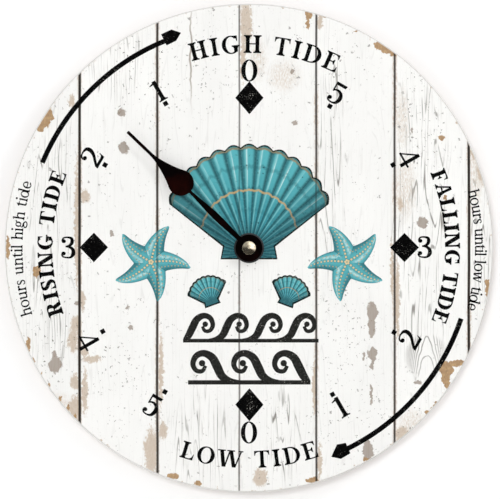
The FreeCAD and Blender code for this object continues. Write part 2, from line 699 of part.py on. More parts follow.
def train_wheel(teeth, phase, front, back, pinion_teeth, pinion_phase, pinion_front, pinion_back, axis):
    """A wheel of the train, moulded with its pinion and arbor."""
    wheel = toothed(teeth, TRAIN_MODULE, phase, front, back, axis)
    pinion = toothed(
        pinion_teeth, TRAIN_MODULE, pinion_phase,
        pinion_front - PINION_OVERLAP, pinion_back + PINION_OVERLAP, axis)
    arbor = rod(WHEEL_ARBOR_DIAMETER, bridge_shoulder, boss_shoulder, axis)
    return fused([wheel, pinion, arbor] + pivots(bridge_shoulder, boss_shoulder, axis))


def third_wheel():
    return train_wheel(
        THIRD_TEETH, 0.0, third_front, third_back,
        THIRD_PINION_TEETH, third_pinion_phase, centre_front, centre_back, third_axis)


def fourth_wheel():
    return train_wheel(
        FOURTH_TEETH, 0.0, fourth_front, fourth_back,
        FOURTH_PINION_TEETH, fourth_pinion_phase, third_front, third_back, fourth_axis)


def rotor_pinion():
    teeth = toothed(
        ROTOR_TEETH, TRAIN_MODULE, rotor_phase,
        fourth_front - PINION_OVERLAP, fourth_back + PINION_OVERLAP, rotor_axis)
    arbor = rod(WHEEL_ARBOR_DIAMETER, bridge_shoulder, boss_shoulder, rotor_axis)
    return fused([teeth, arbor] + pivots(bridge_shoulder, boss_shoulder, rotor_axis))


def rotor_magnet():
    bore = rod(WHEEL_ARBOR_DIAMETER, magnet_front, magnet_back, rotor_axis)
    return rod(MAGNET_DIAMETER, magnet_front, magnet_back, rotor_axis).cut(bore)


def clip_leg(side, outer, inner):
    """A snap leg of the front plate, lying in the outside of the case's top or bottom wall."""
    low = min(outer, inner)
    high = max(outer, inner)
    left = side * CLIP_OFFSET - CLIP_WIDTH / 2
    return block(left, left + CLIP_WIDTH, plate_back, plate_back + CLIP_LENGTH, low, high)


def clip_notch(side, outer, inner):
    low = min(outer, inner - CLIP_CLEARANCE)
    high = max(outer, inner + CLIP_CLEARANCE)
    left = side * CLIP_OFFSET - CLIP_WIDTH / 2 - CLIP_CLEARANCE
    right = left + CLIP_WIDTH + 2 * CLIP_CLEARANCE
    return block(left, right, plate_back, plate_back + CLIP_LENGTH + CLIP_CLEARANCE, low, high)


def front_plate():
    sheet = rounded_plate(case_left, case_right, case_bottom, case_top, CASE_CORNER, plate_front, plate_back)
    bosses = []
    holes = []
    for axis in (intermediate_axis, setting_axis):
        bosses.append(rod(BOSS_DIAMETER, plate_back, plate_back + FRONT_BOSS_HEIGHT, axis))
        holes.append(rod(pivot_hole, plate_back - PIVOT_LENGTH + FRONT_BOSS_HEIGHT,
                         plate_back + FRONT_BOSS_HEIGHT, axis))
    legs = []
    for side in (-1, 1):
        legs.append(clip_leg(side, case_top, case_top - CLIP_THICKNESS))
        legs.append(clip_leg(side, case_bottom, case_bottom + CLIP_THICKNESS))
    flange_seat = hexagon(BUSHING_FLANGE_FLATS + 2 * THREAD_CLEARANCE, plate_front, plate_back)
    return fused([sheet] + bosses + legs).cut(holes).cut(flange_seat)


def rear_case():
    outside = rounded_plate(case_left, case_right, case_bottom, case_top, CASE_CORNER, plate_back, case_back)
    rim = [edge for edge in outside.Edges if edge.BoundBox.YMin > case_back - CASE_BACK_ROUND]
    outside = outside.makeFillet(CASE_BACK_ROUND, rim)
    corner = CASE_CORNER - CASE_WALL
    works = plate([
        (inside_left, partition_top, 0), (inside_right, partition_top, 0),
        (inside_right, inside_top, corner), (inside_left, inside_top, corner)], plate_back, wall_inside)
    bay = plate([
        (inside_left, bay_bottom, corner), (inside_right, bay_bottom, corner),
        (inside_right, bay_top, 0), (inside_left, bay_top, 0)], plate_back, case_back)
    shell = outside.cut([works, bay])
    solids = []
    for axis in (AXIS, third_axis, fourth_axis, rotor_axis):
        solids.append(rod(BOSS_DIAMETER, boss_front, wall_inside, axis))
    for post in bridge_posts:
        solids.append(rod(BRIDGE_POST_DIAMETER, bridge_back, wall_inside, post))
        solids.append(rod(BRIDGE_PIN_DIAMETER, bridge_front - BRIDGE_PIN_PROUD, bridge_back, post))
    for post in stator_screws_at:
        solids.append(rod(STATOR_EAR_WIDTH, stator_back, wall_inside, post))
    for post in circuit_pins:
        solids.append(rod(CIRCUIT_POST_DIAMETER, circuit_back, wall_inside, post))
        solids.append(rod(CIRCUIT_PIN_DIAMETER, circuit_front - CIRCUIT_PIN_PROUD, circuit_back, post))
    solids.append(rod(recess_diameter + 2 * CASE_WALL, recess_floor - CASE_WALL, case_back, setting_axis))
    body = fused([shell] + solids)
    holes = []
    for axis in (AXIS, third_axis, fourth_axis, rotor_axis):
        holes.append(rod(pivot_hole, boss_front, boss_shoulder + PIVOT_LENGTH + PIVOT_END_GAP, axis))
    for post in stator_screws_at:
        holes.append(rod(SCREW_DIAMETER + 2 * THREAD_CLEARANCE, stator_back,
                         core_front + SCREW_LENGTH + PIVOT_END_GAP, post))
    holes.append(rod(recess_diameter, recess_floor, case_back, setting_axis))
    holes.append(rod(SETTING_ARBOR_DIAMETER + 2 * RUNNING_CLEARANCE, recess_floor - CASE_WALL,
                     recess_floor, setting_axis))
    half_notch = FINGER_NOTCH_WIDTH / 2
    notch_round = FINGER_NOTCH_DEPTH / 2
    notch = rounded_wire([
        (-half_notch, case_back, 0), (-half_notch, case_back - FINGER_NOTCH_DEPTH, notch_round),
        (half_notch, case_back - FINGER_NOTCH_DEPTH, notch_round), (half_notch, case_back, 0)],
        lambda point: FreeCAD.Vector(point.x, point.y, case_bottom))
    holes.append(Part.Face(notch).extrude(FreeCAD.Vector(0, 0, CASE_WALL)))
    slot_front = battery_y - POSITIVE_STRIP_WIDTH / 2 - SLOT_CLEARANCE
    holes.append(block(inside_left, positive_inner + SLOT_CLEARANCE, slot_front,
                       slot_front + POSITIVE_STRIP_WIDTH + 2 * SLOT_CLEARANCE, bay_top, partition_top))
    holes.append(block(negative_inner - SLOT_CLEARANCE, inside_right, negative_front - SLOT_CLEARANCE,
                       negative_back + SLOT_CLEARANCE, bay_top, partition_top))
    for side in (-1, 1):
        holes.append(clip_notch(side, case_top, case_top - CLIP_THICKNESS))
        holes.append(clip_notch(side, case_bottom, case_bottom + CLIP_THICKNESS))
    return body.cut(holes)


def bridge_plate():
    sheet = rounded_plate(
        bridge_left, bridge_right, bridge_bottom, bridge_top, BRIDGE_MARGIN, bridge_front, bridge_back)
    holes = [rod(WHEEL_ARBOR_DIAMETER + 2 * RUNNING_CLEARANCE, bridge_front, bridge_back)]
    for axis in (intermediate_axis, third_axis, fourth_axis, rotor_axis):
        holes.append(rod(pivot_hole, bridge_front, bridge_back, axis))
    holes.append(rod(SETTING_ARBOR_DIAMETER + 2 * RUNNING_CLEARANCE, bridge_front, bridge_back, setting_axis))
    for post in bridge_posts:
        holes.append(rod(BRIDGE_PIN_DIAMETER + 2 * THREAD_CLEARANCE, bridge_front, bridge_back, post))
    return sheet.cut(holes)


def stator():
    ear_top = coil_z + STATOR_EAR_WIDTH / 2
    strip_bottom = rotor_axis[1] - STATOR_STRIP_WIDTH / 2
    strip_top = strip_bottom + STATOR_STRIP_WIDTH
    left_inner = STATOR_LEFT + STATOR_EAR_WIDTH
    right_inner = STATOR_RIGHT - STATOR_EAR_WIDTH
    sheet = plate([
        (STATOR_LEFT, strip_bottom, 0), (STATOR_RIGHT, strip_bottom, 0), (STATOR_RIGHT, ear_top, 0),
        (right_inner, ear_top, 0), (right_inner, strip_top, 0), (left_inner, strip_top, 0),
        (left_inner, ear_top, 0), (STATOR_LEFT, ear_top, 0)], stator_front, stator_back)
    ring = rod(2 * stator_ring_radius, stator_front, stator_back, rotor_axis)
    holes = [rod(STATOR_BORE, stator_front, stator_back, rotor_axis)]
    for screw in stator_screws_at:
        holes.append(rod(SCREW_DIAMETER + 2 * THREAD_CLEARANCE, stator_front, stator_back, screw))
    return fused([sheet, ring]).cut(holes)


def coil_core():
    pieces = [block(STATOR_LEFT, STATOR_RIGHT, core_front, stator_front,
                    coil_z - CORE_WIDTH / 2, coil_z + CORE_WIDTH / 2)]
    holes = []
    for screw in stator_screws_at:
        half = STATOR_EAR_WIDTH / 2
        pieces.append(block(screw[0] - half, screw[0] + half, core_front, stator_front,
                            screw[1] - half, screw[1] + half))
        holes.append(rod(SCREW_DIAMETER + 2 * THREAD_CLEARANCE, core_front, stator_front, screw))
    return fused(pieces).cut(holes)


def along_coil(diameter, left, right):
    start = FreeCAD.Vector(left, coil_y, coil_z)
    return Part.makeCylinder(diameter / 2, right - left, start, FreeCAD.Vector(1, 0, 0))


def coil_bobbin():
    barrel = along_coil(BARREL_DIAMETER, bobbin_left, bobbin_right)
    first = along_coil(COIL_DIAMETER, bobbin_left, bobbin_left + BOBBIN_FLANGE)
    last = along_coil(COIL_DIAMETER, bobbin_right - BOBBIN_FLANGE, bobbin_right)
    half = CORE_WIDTH / 2 + CORE_CLEARANCE
    hole = block(bobbin_left, bobbin_right, core_front - CORE_CLEARANCE, stator_front + CORE_CLEARANCE,
                 coil_z - half, coil_z + half)
    return fused([barrel, first, last]).cut(hole)


def coil_winding():
    left = bobbin_left + BOBBIN_FLANGE
    right = bobbin_right - BOBBIN_FLANGE
    return along_coil(WINDING_DIAMETER, left, right).cut(along_coil(BARREL_DIAMETER, left, right))


def stator_screws():
    screws = []
    for axis in stator_screws_at:
        head = rod(SCREW_HEAD_DIAMETER, core_front - SCREW_HEAD_HEIGHT, core_front, axis)
        slot = block(axis[0] - SCREW_HEAD_DIAMETER, axis[0] + SCREW_HEAD_DIAMETER,
                     core_front - SCREW_HEAD_HEIGHT, core_front - SCREW_HEAD_HEIGHT / 2,
                     axis[1] - SCREW_SLOT / 2, axis[1] + SCREW_SLOT / 2)
        shank = rod(SCREW_DIAMETER, core_front, core_front + SCREW_LENGTH, axis)
        screws.append(fused([head, shank]).cut(slot))
    return Part.makeCompound(screws)


def circuit_board():
    board = block(circuit_left, circuit_right, circuit_front, circuit_back, circuit_bottom, circuit_top)
    holes = []
    for pin in circuit_pins:
        holes.append(rod(CIRCUIT_PIN_DIAMETER + 2 * THREAD_CLEARANCE, circuit_front, circuit_back, pin))
    return board.cut(holes)


def clock_chip():
    axis = (circuit_right - CHIP_DIAMETER, circuit_top - CHIP_DIAMETER)
    radius = CHIP_DIAMETER / 2
    return turned([
        (0, circuit_front - CHIP_HEIGHT, 0), (radius / 2, circuit_front - CHIP_HEIGHT, CHIP_HEIGHT / 2),
        (radius, circuit_front, 0), (0, circuit_front, 0)], axis)


def quartz_crystal():
    x = circuit_left + 1.5 * CRYSTAL_DIAMETER
    bottom = circuit_bottom + CRYSTAL_DIAMETER
    start = FreeCAD.Vector(x, circuit_front - CRYSTAL_DIAMETER / 2, bottom)
    return Part.makeCylinder(CRYSTAL_DIAMETER / 2, CRYSTAL_LENGTH, start, FreeCAD.Vector(0, 0, 1))


def positive_contact():
    half = CONTACT_PLATE_WIDTH / 2
    strip_half = POSITIVE_STRIP_WIDTH / 2
    pad = block(positive_outer, positive_inner, battery_y - half, battery_y + half,
                battery_z - CONTACT_PLATE_HEIGHT / 2, battery_z + CONTACT_PLATE_HEIGHT / 2)
    strip = block(positive_outer, positive_inner, battery_y - strip_half, battery_y + strip_half,
                  battery_z, circuit_bottom + 2 * CONTACT_TAB_HEIGHT)
    tab = block(positive_outer, positive_inner + CONTACT_TAB_REACH, circuit_front - CONTACT_THICKNESS,
                circuit_front, circuit_bottom + CONTACT_TAB_HEIGHT, circuit_bottom + 2 * CONTACT_TAB_HEIGHT)
    start = FreeCAD.Vector(positive_inner, battery_y, battery_z)
    reach = -BATTERY_LENGTH / 2 - CONTACT_GAP - positive_inner
    boss = Part.makeCylinder(POSITIVE_BOSS_DIAMETER / 2, reach, start, FreeCAD.Vector(1, 0, 0))
    board = block(circuit_left, circuit_right, circuit_front, circuit_back, circuit_bottom, circuit_top)
    return fused([pad, strip, tab, boss]).cut(board)


def negative_contact():
    half = CONTACT_PLATE_WIDTH / 2
    floor = partition_top + CONTACT_THICKNESS
    pad = block(negative_inner, negative_outer, battery_y - half, battery_y + half,
                battery_z - CONTACT_PLATE_HEIGHT / 2, battery_z + CONTACT_PLATE_HEIGHT / 2)
    neck = block(negative_inner, negative_outer, negative_front, negative_back, battery_z, floor)
    run = block(negative_rise, negative_outer, negative_front, negative_back, partition_top, floor)
    rise = block(negative_rise, negative_rise + CONTACT_THICKNESS, negative_front, negative_back,
                 partition_top, circuit_bottom + CONTACT_TAB_HEIGHT)
    tab = block(negative_rise, negative_rise + CONTACT_TAB_REACH, circuit_back,
                circuit_back + CONTACT_THICKNESS, circuit_bottom, circuit_bottom + CONTACT_TAB_HEIGHT)
    reach = negative_inner - BATTERY_LENGTH / 2 - CONTACT_GAP
    boss = Part.makeCone(
        NEGATIVE_BOSS_DIAMETER / 2, NEGATIVE_BOSS_TIP / 2, reach,
        FreeCAD.Vector(negative_inner, battery_y, battery_z), FreeCAD.Vector(-1, 0, 0))
    return fused([pad, neck, run, rise, tab, boss])


def battery():
    left = -BATTERY_LENGTH / 2
    right = BATTERY_LENGTH / 2
    radius = BATTERY_DIAMETER / 2
    shoulder = left + BATTERY_NUB_LENGTH
    nub = BATTERY_NUB_DIAMETER / 2
    section = rounded_wire([
        (left, 0, 0), (left, nub, BATTERY_EDGE_ROUND / 2), (shoulder, nub, 0),
        (shoulder, radius, BATTERY_EDGE_ROUND), (right, radius, BATTERY_EDGE_ROUND), (right, 0, 0)],
        lambda point: FreeCAD.Vector(point.x, point.y, 0))
    cell = Part.Face(section).revolve(FreeCAD.Vector(0, 0, 0), FreeCAD.Vector(1, 0, 0), 360)
    cell.translate(FreeCAD.Vector(0, battery_y, battery_z))
    return cell


PIECES = [
    dial_board, front_washer, mounting_nut, threaded_bushing, rubber_gasket, hanger_plate,
    tide_hand, hand_collet, cap_nut, tide_arbor, hour_wheel, intermediate_wheel, cannon_pinion,
    setting_arbor, setting_knob, centre_arbor, centre_wheel, third_wheel, fourth_wheel,
    rotor_pinion, rotor_magnet, front_plate, rear_case, bridge_plate, stator, coil_core,
    coil_bobbin, coil_winding, stator_screws, circuit_board, clock_chip, quartz_crystal,
    positive_contact, negative_contact, battery]

os.makedirs("parts", exist_ok=True)
for make in PIECES:
    piece = make()
    piece.translate(FreeCAD.Vector(-ORIGIN[0], -ORIGIN[1], -ORIGIN[2]))
    piece.exportStep("parts/" + make.__name__ + ".step")
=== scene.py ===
from functools import reduce
import json
import math

import bpy
from mathutils import Matrix, Vector, geometry


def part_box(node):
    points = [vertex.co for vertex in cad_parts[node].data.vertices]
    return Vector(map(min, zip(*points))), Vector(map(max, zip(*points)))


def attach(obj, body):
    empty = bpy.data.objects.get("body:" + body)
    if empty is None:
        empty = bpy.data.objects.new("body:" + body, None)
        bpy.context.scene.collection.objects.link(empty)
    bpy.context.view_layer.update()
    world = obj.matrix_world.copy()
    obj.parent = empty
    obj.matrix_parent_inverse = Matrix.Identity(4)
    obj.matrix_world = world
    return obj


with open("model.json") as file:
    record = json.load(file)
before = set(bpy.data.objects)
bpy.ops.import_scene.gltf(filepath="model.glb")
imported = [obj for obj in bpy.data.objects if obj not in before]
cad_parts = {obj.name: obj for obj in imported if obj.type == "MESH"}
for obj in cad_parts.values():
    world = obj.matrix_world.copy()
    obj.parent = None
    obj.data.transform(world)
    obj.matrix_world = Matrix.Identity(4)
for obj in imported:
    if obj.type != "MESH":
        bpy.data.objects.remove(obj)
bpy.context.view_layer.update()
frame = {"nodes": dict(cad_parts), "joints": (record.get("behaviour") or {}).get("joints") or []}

MM = 0.001

# The photograph's frame, and the dial's place in it, in pixels
PHOTO_WIDTH = 500
PHOTO_HEIGHT = 499
DIAL_MIDDLE = (249.0, 248.0)
DIAL_RADIUS = 244.3

# The dial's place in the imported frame, worked out from the board and the hand's axis
board_low, board_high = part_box("dial_board")
hand_joint = next(joint for joint in frame["joints"] if joint["name"] == "hand_turn")
DIAL_X = hand_joint["pos_m"][0]
DIAL_Z = hand_joint["pos_m"][2]
BOARD_FRONT = board_low.y
BOARD_BACK = board_high.y
BOARD_RADIUS = (board_high.x - board_low.x) / 2
PIXEL = BOARD_RADIUS / DIAL_RADIUS
CASE_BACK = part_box("rear_case")[1].y

# Thickness of the ink above the board, and how far its back is sunk into it
INK = 0.06 * MM
INK_SUNK = 0.03 * MM


# ---------------------------------------------------------------- camera, light and stage

CAMERA_DISTANCE = 2.0
SENSOR = 36.0
FARTHEST_SEEN = 20.0


def set_camera():
    camera = bpy.data.cameras.new("photo_camera")
    camera.sensor_width = SENSOR
    camera.lens = SENSOR * CAMERA_DISTANCE / (PHOTO_WIDTH * PIXEL)
    camera.clip_end = FARTHEST_SEEN
    holder = bpy.data.objects.new("photo_camera", camera)
    bpy.context.scene.collection.objects.link(holder)
    across = (PHOTO_WIDTH / 2 - DIAL_MIDDLE[0]) * PIXEL
    down = (PHOTO_HEIGHT / 2 - DIAL_MIDDLE[1]) * PIXEL
    holder.location = (DIAL_X + across, BOARD_FRONT - CAMERA_DISTANCE, DIAL_Z - down)
    holder.rotation_euler = (math.radians(90), 0, 0)
    bpy.context.scene.camera = holder


class Shade:
    """A socket of a material's node tree. Sums on it add Math nodes."""

    def __init__(self, tree, socket=None):
        self.tree = tree
        self.socket = socket

    def node(self, kind, settings=None, sockets=None, output=0):
        """Adds a node: its settings first, then the values or links of its sockets."""
        made = self.tree.nodes.new(kind)
        for name, value in (settings or {}).items():
            if name == "stops":
                set_stops(made.color_ramp, value)
            else:
                setattr(made, name, value)
        for key, value in (sockets or {}).items():
            if isinstance(value, Shade):
                self.tree.links.new(value.socket, made.inputs[key])
            else:
                made.inputs[key].default_value = value
        return Shade(self.tree, made.outputs[output] if made.outputs else None)

    def maths(self, operation, *values):
        return self.node("ShaderNodeMath", {"operation": operation}, dict(enumerate(values)))

    def __add__(self, other):
        return self.maths("ADD", self, other)

    def __sub__(self, other):
        return self.maths("SUBTRACT", self, other)

    def __rsub__(self, other):
        return self.maths("SUBTRACT", other, self)

    def __mul__(self, other):
        return self.maths("MULTIPLY", self, other)

    def __truediv__(self, other):
        return self.maths("DIVIDE", self, other)

    __radd__ = __add__
    __rmul__ = __mul__

    def other(self, output):
        """Another output of the same node."""
        return Shade(self.tree, self.socket.node.outputs[output])

    def vector(self, operation, value):
        return self.node("ShaderNodeVectorMath", {"operation": operation}, {0: self, 1: value})

    def length(self):
        return self.node("ShaderNodeVectorMath", {"operation": "LENGTH"}, {0: self}, output=1)

    def size(self):
        return self.maths("ABSOLUTE", self)

    def sine(self):
        return self.maths("SINE", self)

    def fraction(self):
        return self.maths("FRACT", self)

    def over(self, limit):
        return self.maths("GREATER_THAN", self, limit)

    def smooth(self, low, high):
        """0 below low, 1 above high, and an even curve between; low may be the larger."""
        flip = low > high
        edges = {"From Min": min(low, high), "From Max": max(low, high)}
        if flip:
            edges.update({"To Min": 1.0, "To Max": 0.0})
        return self.node("ShaderNodeMapRange", {"interpolation_type": "SMOOTHSTEP"}, {"Value": self, **edges})

    def most(self, other):
        return self.maths("MAXIMUM", self, other)

    def least(self, other):
        return self.maths("MINIMUM", self, other)

    def point(self, x, y, z=0.0):
        return self.node("ShaderNodeCombineXYZ", None, {0: x, 1: y, 2: z})

    def noise(self, place, detail=2.0, roughness=0.5):
        return self.node("ShaderNodeTexNoise", {"noise_dimensions": "3D"}, {
            "Vector": place, "Scale": 1.0, "Detail": detail, "Roughness": roughness})

    def blend(self, under, over):
        """Colour under where self is 0, and colour over where it is 1."""
        return self.node("ShaderNodeMix", {"data_type": "RGBA"}, {0: self, 6: under, 7: over}, output=2)

    def ramp(self, stops, kind="EASE"):
        return self.node("ShaderNodeValToRGB", {"stops": (kind, stops)}, {0: self})


def set_stops(ramp, wanted):
    kind, stops = wanted
    ramp.interpolation = kind
    while len(ramp.elements) < len(stops):
        ramp.elements.new(1.0)
    for element, (place, colour) in zip(ramp.elements, stops):
        element.position = place
        element.color = colour


def tint(red, green, blue):
    """A colour given as it shows on a screen, 0 to 255, as the shader wants it."""
    channels = []
    for value in (red, green, blue):
        share = value / 255
        channels.append(share / 12.92 if share <= 0.04045 else ((share + 0.055) / 1.055) ** 2.4)
    return (*channels, 1.0)


def layered(colour, *layers):
    """A colour with others painted over it in turn, each given as its mask and its colour."""
    for mask, over in layers:
        colour = mask.blend(colour, over)
    return colour


def new_material(name, roughness, metallic=0.0, specular=0.5):
    """A material, with a Shade to build on."""
    material = bpy.data.materials.new(name)
    material.use_nodes = True
    shader = material.node_tree.nodes["Principled BSDF"]
    shader.inputs["Roughness"].default_value = roughness
    shader.inputs["Metallic"].default_value = metallic
    shader.inputs["Specular IOR Level"].default_value = specular
    return material, Shade(material.node_tree)


def with_looks(material, colour, roughness=None, metallic=None, bump=None):
    """Joins what changes over the surface to its shader; a bump is its height, distance and strength."""
    inputs = material.node_tree.nodes["Principled BSDF"].inputs
    looks = {"Base Color": colour, "Roughness": roughness, "Metallic": metallic}
    if bump:
        height, distance, strength = bump
        sockets = {"Strength": strength, "Distance": distance, "Height": height}
        looks["Normal"] = height.node("ShaderNodeBump", None, sockets)
    for name, shade in looks.items():
        if shade:
            material.node_tree.links.new(shade.socket, inputs[name])
    return material


def split(place):
    x = place.node("ShaderNodeSeparateXYZ", None, {0: place})
    return x, x.other(1), x.other(2)


def place_of(start):
    """Object coordinates, split."""
    return split(start.node("ShaderNodeTexCoord", output=3))


def toned(colour, share, lift=0.0):
    """A colour made darker or paler: its channels times a share, and lifted."""
    return tuple(min(1.0, channel * share + lift) for channel in colour[:3]) + (1.0,)


def dial_pixels(start):
    """Places across and down the dial in the photograph's pixels, and the depth y."""
    x, y, z = place_of(start)
    across = (x - DIAL_X) / PIXEL + DIAL_MIDDLE[0]
    down = DIAL_MIDDLE[1] - (z - DIAL_Z) / PIXEL
    return across, down, y


def noise_in(places, scale, detail=3.0, roughness=0.5):
    """Noise all through a piece, from how fine it is, in waves per metre."""
    x, y, z = places
    return x.noise(x.point(x * scale, y * scale, z * scale), detail, roughness)


def dial_noise(places, across, down, layer=0.0, detail=2.0, roughness=0.5):
    """Noise over the dial, from how fine it is across and down, in waves per pixel."""
    x, y = places
    return x.noise(x.point(x * across, y * down, layer), detail, roughness)


# ---------------------------------------------------------------- stage

WALL_GAP = 0.4 * MM
WALL_SIZE = 6.0
FLOOR_BELOW = 0.55
STAGE_WHITE = 1.85
WHITE = (1.0, 1.0, 1.0, 1.0)
# Name, place, size and power of each lamp, and whether it is seen in gloss
LAMPS = [
    ("key_light", (-0.16, -2.35, 0.18), 0.32, 16.6, False),
    ("side_light", (1.05, -1.30, 0.85), 0.5, 5.4, True),
    ("fill_light", (-1.3, -1.5, 0.35), 1.2, 3.2, True),
    ("back_light", (0.6, 1.6, 1.0), 1.0, 22.0, True)]
ROOM_LIGHT = 0.48


def stage_material(name, colour, white_share, see_through_back):
    """Pale and matt, and shown partly as plain white, so that it stays white but holds a shadow."""
    material = bpy.data.materials.new(name)
    material.use_nodes = True
    tree = material.node_tree
    tree.nodes.clear()
    start = Shade(tree)
    matt = start.node("ShaderNodeBsdfDiffuse", None, {"Color": colour})
    plain = start.node("ShaderNodeEmission", None, {"Color": WHITE, "Strength": STAGE_WHITE})
    camera_ray = start.node("ShaderNodeLightPath")
    seen = camera_ray + camera_ray.other("Is Glossy Ray") + camera_ray.other("Is Transmission Ray")
    surface = start.node("ShaderNodeMixShader", None, {0: seen * white_share, 1: matt, 2: plain})
    if see_through_back:
        behind = start.node("ShaderNodeNewGeometry", output=6)
        clear = start.node("ShaderNodeBsdfTransparent")
        surface = start.node("ShaderNodeMixShader", None, {0: behind, 1: surface, 2: clear})
    start.node("ShaderNodeOutputMaterial", None, {0: surface})
    return material


def deselect():
    bpy.ops.object.select_all(action="DESELECT")


def make_stage():
    deselect()
    behind = (DIAL_X, CASE_BACK + WALL_GAP, DIAL_Z)
    bpy.ops.mesh.primitive_plane_add(size=WALL_SIZE, location=behind, rotation=(math.radians(90), 0, 0))
    wall = bpy.context.object
    wall.name = "wall"
    wall.visible_shadow = False
    wall.visible_diffuse = False
    wall.data.materials.append(stage_material("wall_white", tint(250, 252, 253), 0.15, True))
    deselect()
    bpy.ops.mesh.primitive_plane_add(size=WALL_SIZE, location=(DIAL_X, 0, DIAL_Z - FLOOR_BELOW))
    floor = bpy.context.object
    floor.name = "floor"
    floor.visible_glossy = False
    floor.data.materials.append(stage_material("floor_pale", tint(236, 236, 234), 0.18, False))


def area_light(name, place, size, power, glossy):
    """A round lamp turned to the dial's middle."""
    light = bpy.data.lights.new(name, "AREA")
    light.shape = "DISK"
    light.size = size
    light.energy = power
    holder = bpy.data.objects.new(name, light)
    bpy.context.scene.collection.objects.link(holder)
    holder.location = place
    aim = Vector((DIAL_X, BOARD_FRONT, DIAL_Z)) - Vector(place)
    holder.rotation_euler = aim.to_track_quat("-Z", "Y").to_euler()
    holder.visible_camera = False
    holder.visible_glossy = glossy


def make_lights():
    """A key light near the camera, so that the shadow hugs the rim, and softer lamps round it."""
    for lamp in LAMPS:
        area_light(*lamp)


def make_world():
    """Even light on the object, white to the camera, and bright above and dark below in gloss."""
    world = bpy.data.worlds.new("studio")
    bpy.context.scene.world = world
    world.use_nodes = True
    tree = world.node_tree
    tree.nodes.clear()
    start = Shade(tree)
    x, ahead, up = split(start.node("ShaderNodeTexCoord"))
    sky = (up + x * 0.25).smooth(-0.4, 0.4) * (x.smooth(-0.6, 0.5) * 1.25 + 0.35)
    room = (sky + 0.04).most(ahead.smooth(-0.1, 0.1))
    lit = start.node("ShaderNodeBackground", None, {"Color": tint(250, 251, 253), "Strength": ROOM_LIGHT})
    plain = start.node("ShaderNodeBackground", None, {"Color": WHITE, "Strength": 1.0})
    glossy = start.node("ShaderNodeBackground", None, {"Color": WHITE, "Strength": room})
    camera_ray = start.node("ShaderNodeLightPath")
    seen = camera_ray + camera_ray.other("Is Transmission Ray")
    mixed = start.node("ShaderNodeMixShader", None, {0: seen, 1: lit, 2: plain})
    in_gloss = camera_ray.other("Is Glossy Ray")
    mixed = start.node("ShaderNodeMixShader", None, {0: in_gloss, 1: mixed, 2: glossy})
    start.node("ShaderNodeOutputWorld", None, {0: mixed})


# ---------------------------------------------------------------- making pieces

def activate(piece):
    deselect()
    piece.select_set(True)
    bpy.context.view_layer.objects.active = piece


# Points nearer than MERGE become one, and edges that bend less than NEARLY_FLAT are dissolved
MERGE = 1e-5
NEARLY_FLAT = math.radians(0.3)
PLATE_DEPTH = 1.0
FACING = Matrix.Rotation(math.radians(90), 4, "X")


def runs_clockwise(outline):
    return sum(x * q - p * y for (x, y), (p, q) in zip(outline, outline[1:] + outline[:1])) < 0


def flat_plate(name, outlines):
    """One flat plate in the XY plane, its middle at z = 0, from closed outlines that may overlap."""
    points = []
    faces = []
    for outline in outlines:
        if runs_clockwise(outline):
            outline = outline[::-1]
        faces.append(list(range(len(points), len(points) + len(outline))))
        points.extend(Vector(point) for point in outline)
    spots, _, corners, _, _, owners = geometry.delaunay_2d_cdt(points, [], faces, 1, MERGE)
    mesh = bpy.data.meshes.new(name)
    inside = [face for face, owner in zip(corners, owners) if owner]
    mesh.from_pydata([(x, y, 0) for x, y in spots], [], inside)
    piece = bpy.data.objects.new(name, mesh)
    bpy.context.scene.collection.objects.link(piece)
    activate(piece)
    bpy.ops.object.mode_set(mode="EDIT")
    bpy.ops.mesh.select_all(action="SELECT")
    bpy.ops.mesh.delete_loose()
    bpy.ops.mesh.select_all(action="SELECT")
    bpy.ops.mesh.dissolve_limited(angle_limit=NEARLY_FLAT)
    bpy.ops.object.mode_set(mode="OBJECT")
    thicken = piece.modifiers.new("thicken", "SOLIDIFY")
    thicken.thickness = PLATE_DEPTH
    thicken.offset = 0
    bpy.ops.object.modifier_apply(modifier=thicken.name)
    return piece


def joined(name, pieces):
    """One object of several that lie apart."""
    activate(pieces[0])
    for piece in pieces:
        piece.select_set(True)
    if len(pieces) > 1:
        bpy.ops.object.join()
    piece = bpy.context.object
    piece.name = name
    return piece


def settled(piece):
    """The piece's place goes into its mesh."""
    activate(piece)
    bpy.ops.object.transform_apply(location=True, rotation=True, scale=True)
    return piece


def finished(piece, body, material):
    piece.data.materials.clear()
    piece.data.materials.append(material)
    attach(piece, body)
    return piece


def on_dial(piece, across, up, turn, scale, proud=INK, stretch=1.0):
    """Lays a flat plate on the board, turned clockwise; across and up are pixels from the dial's middle."""
    depth = proud + INK_SUNK
    middle = BOARD_FRONT + (INK_SUNK - proud) / 2
    place = Matrix.Translation((DIAL_X + across * PIXEL, middle, DIAL_Z + up * PIXEL))
    shape = Matrix.Diagonal((scale * PIXEL * stretch, scale * PIXEL, depth / PLATE_DEPTH, 1.0))
    piece.matrix_world = place @ Matrix.Rotation(math.radians(turn), 4, "Y") @ FACING @ shape
    return piece


def from_pixels(point):
    """A photograph pixel as a point on a plate whose unit is one pixel and whose middle is the dial's."""
    return (point[0] - DIAL_MIDDLE[0], DIAL_MIDDLE[1] - point[1])


# ---------------------------------------------------------------- letterforms, on a height of 1

OVAL_STEPS = 40
ARC_STEP = 9.0
PEN_STEPS = 6
# How far a serif stands out from its stem
REACH = 0.11


def oval(x, y, across, up):
    turn = 2 * math.pi / OVAL_STEPS
    return [(x + across * math.cos(turn * i), y + up * math.sin(turn * i)) for i in range(OVAL_STEPS)]


def ring(x, y, across, up, side, top):
    """An oval ring, thick at its sides and thin at its top and bottom, in two halves."""
    return bowl(x, y, across, up, side, top, -90, 90) + bowl(x, y, across, up, side, top, 90, 270)


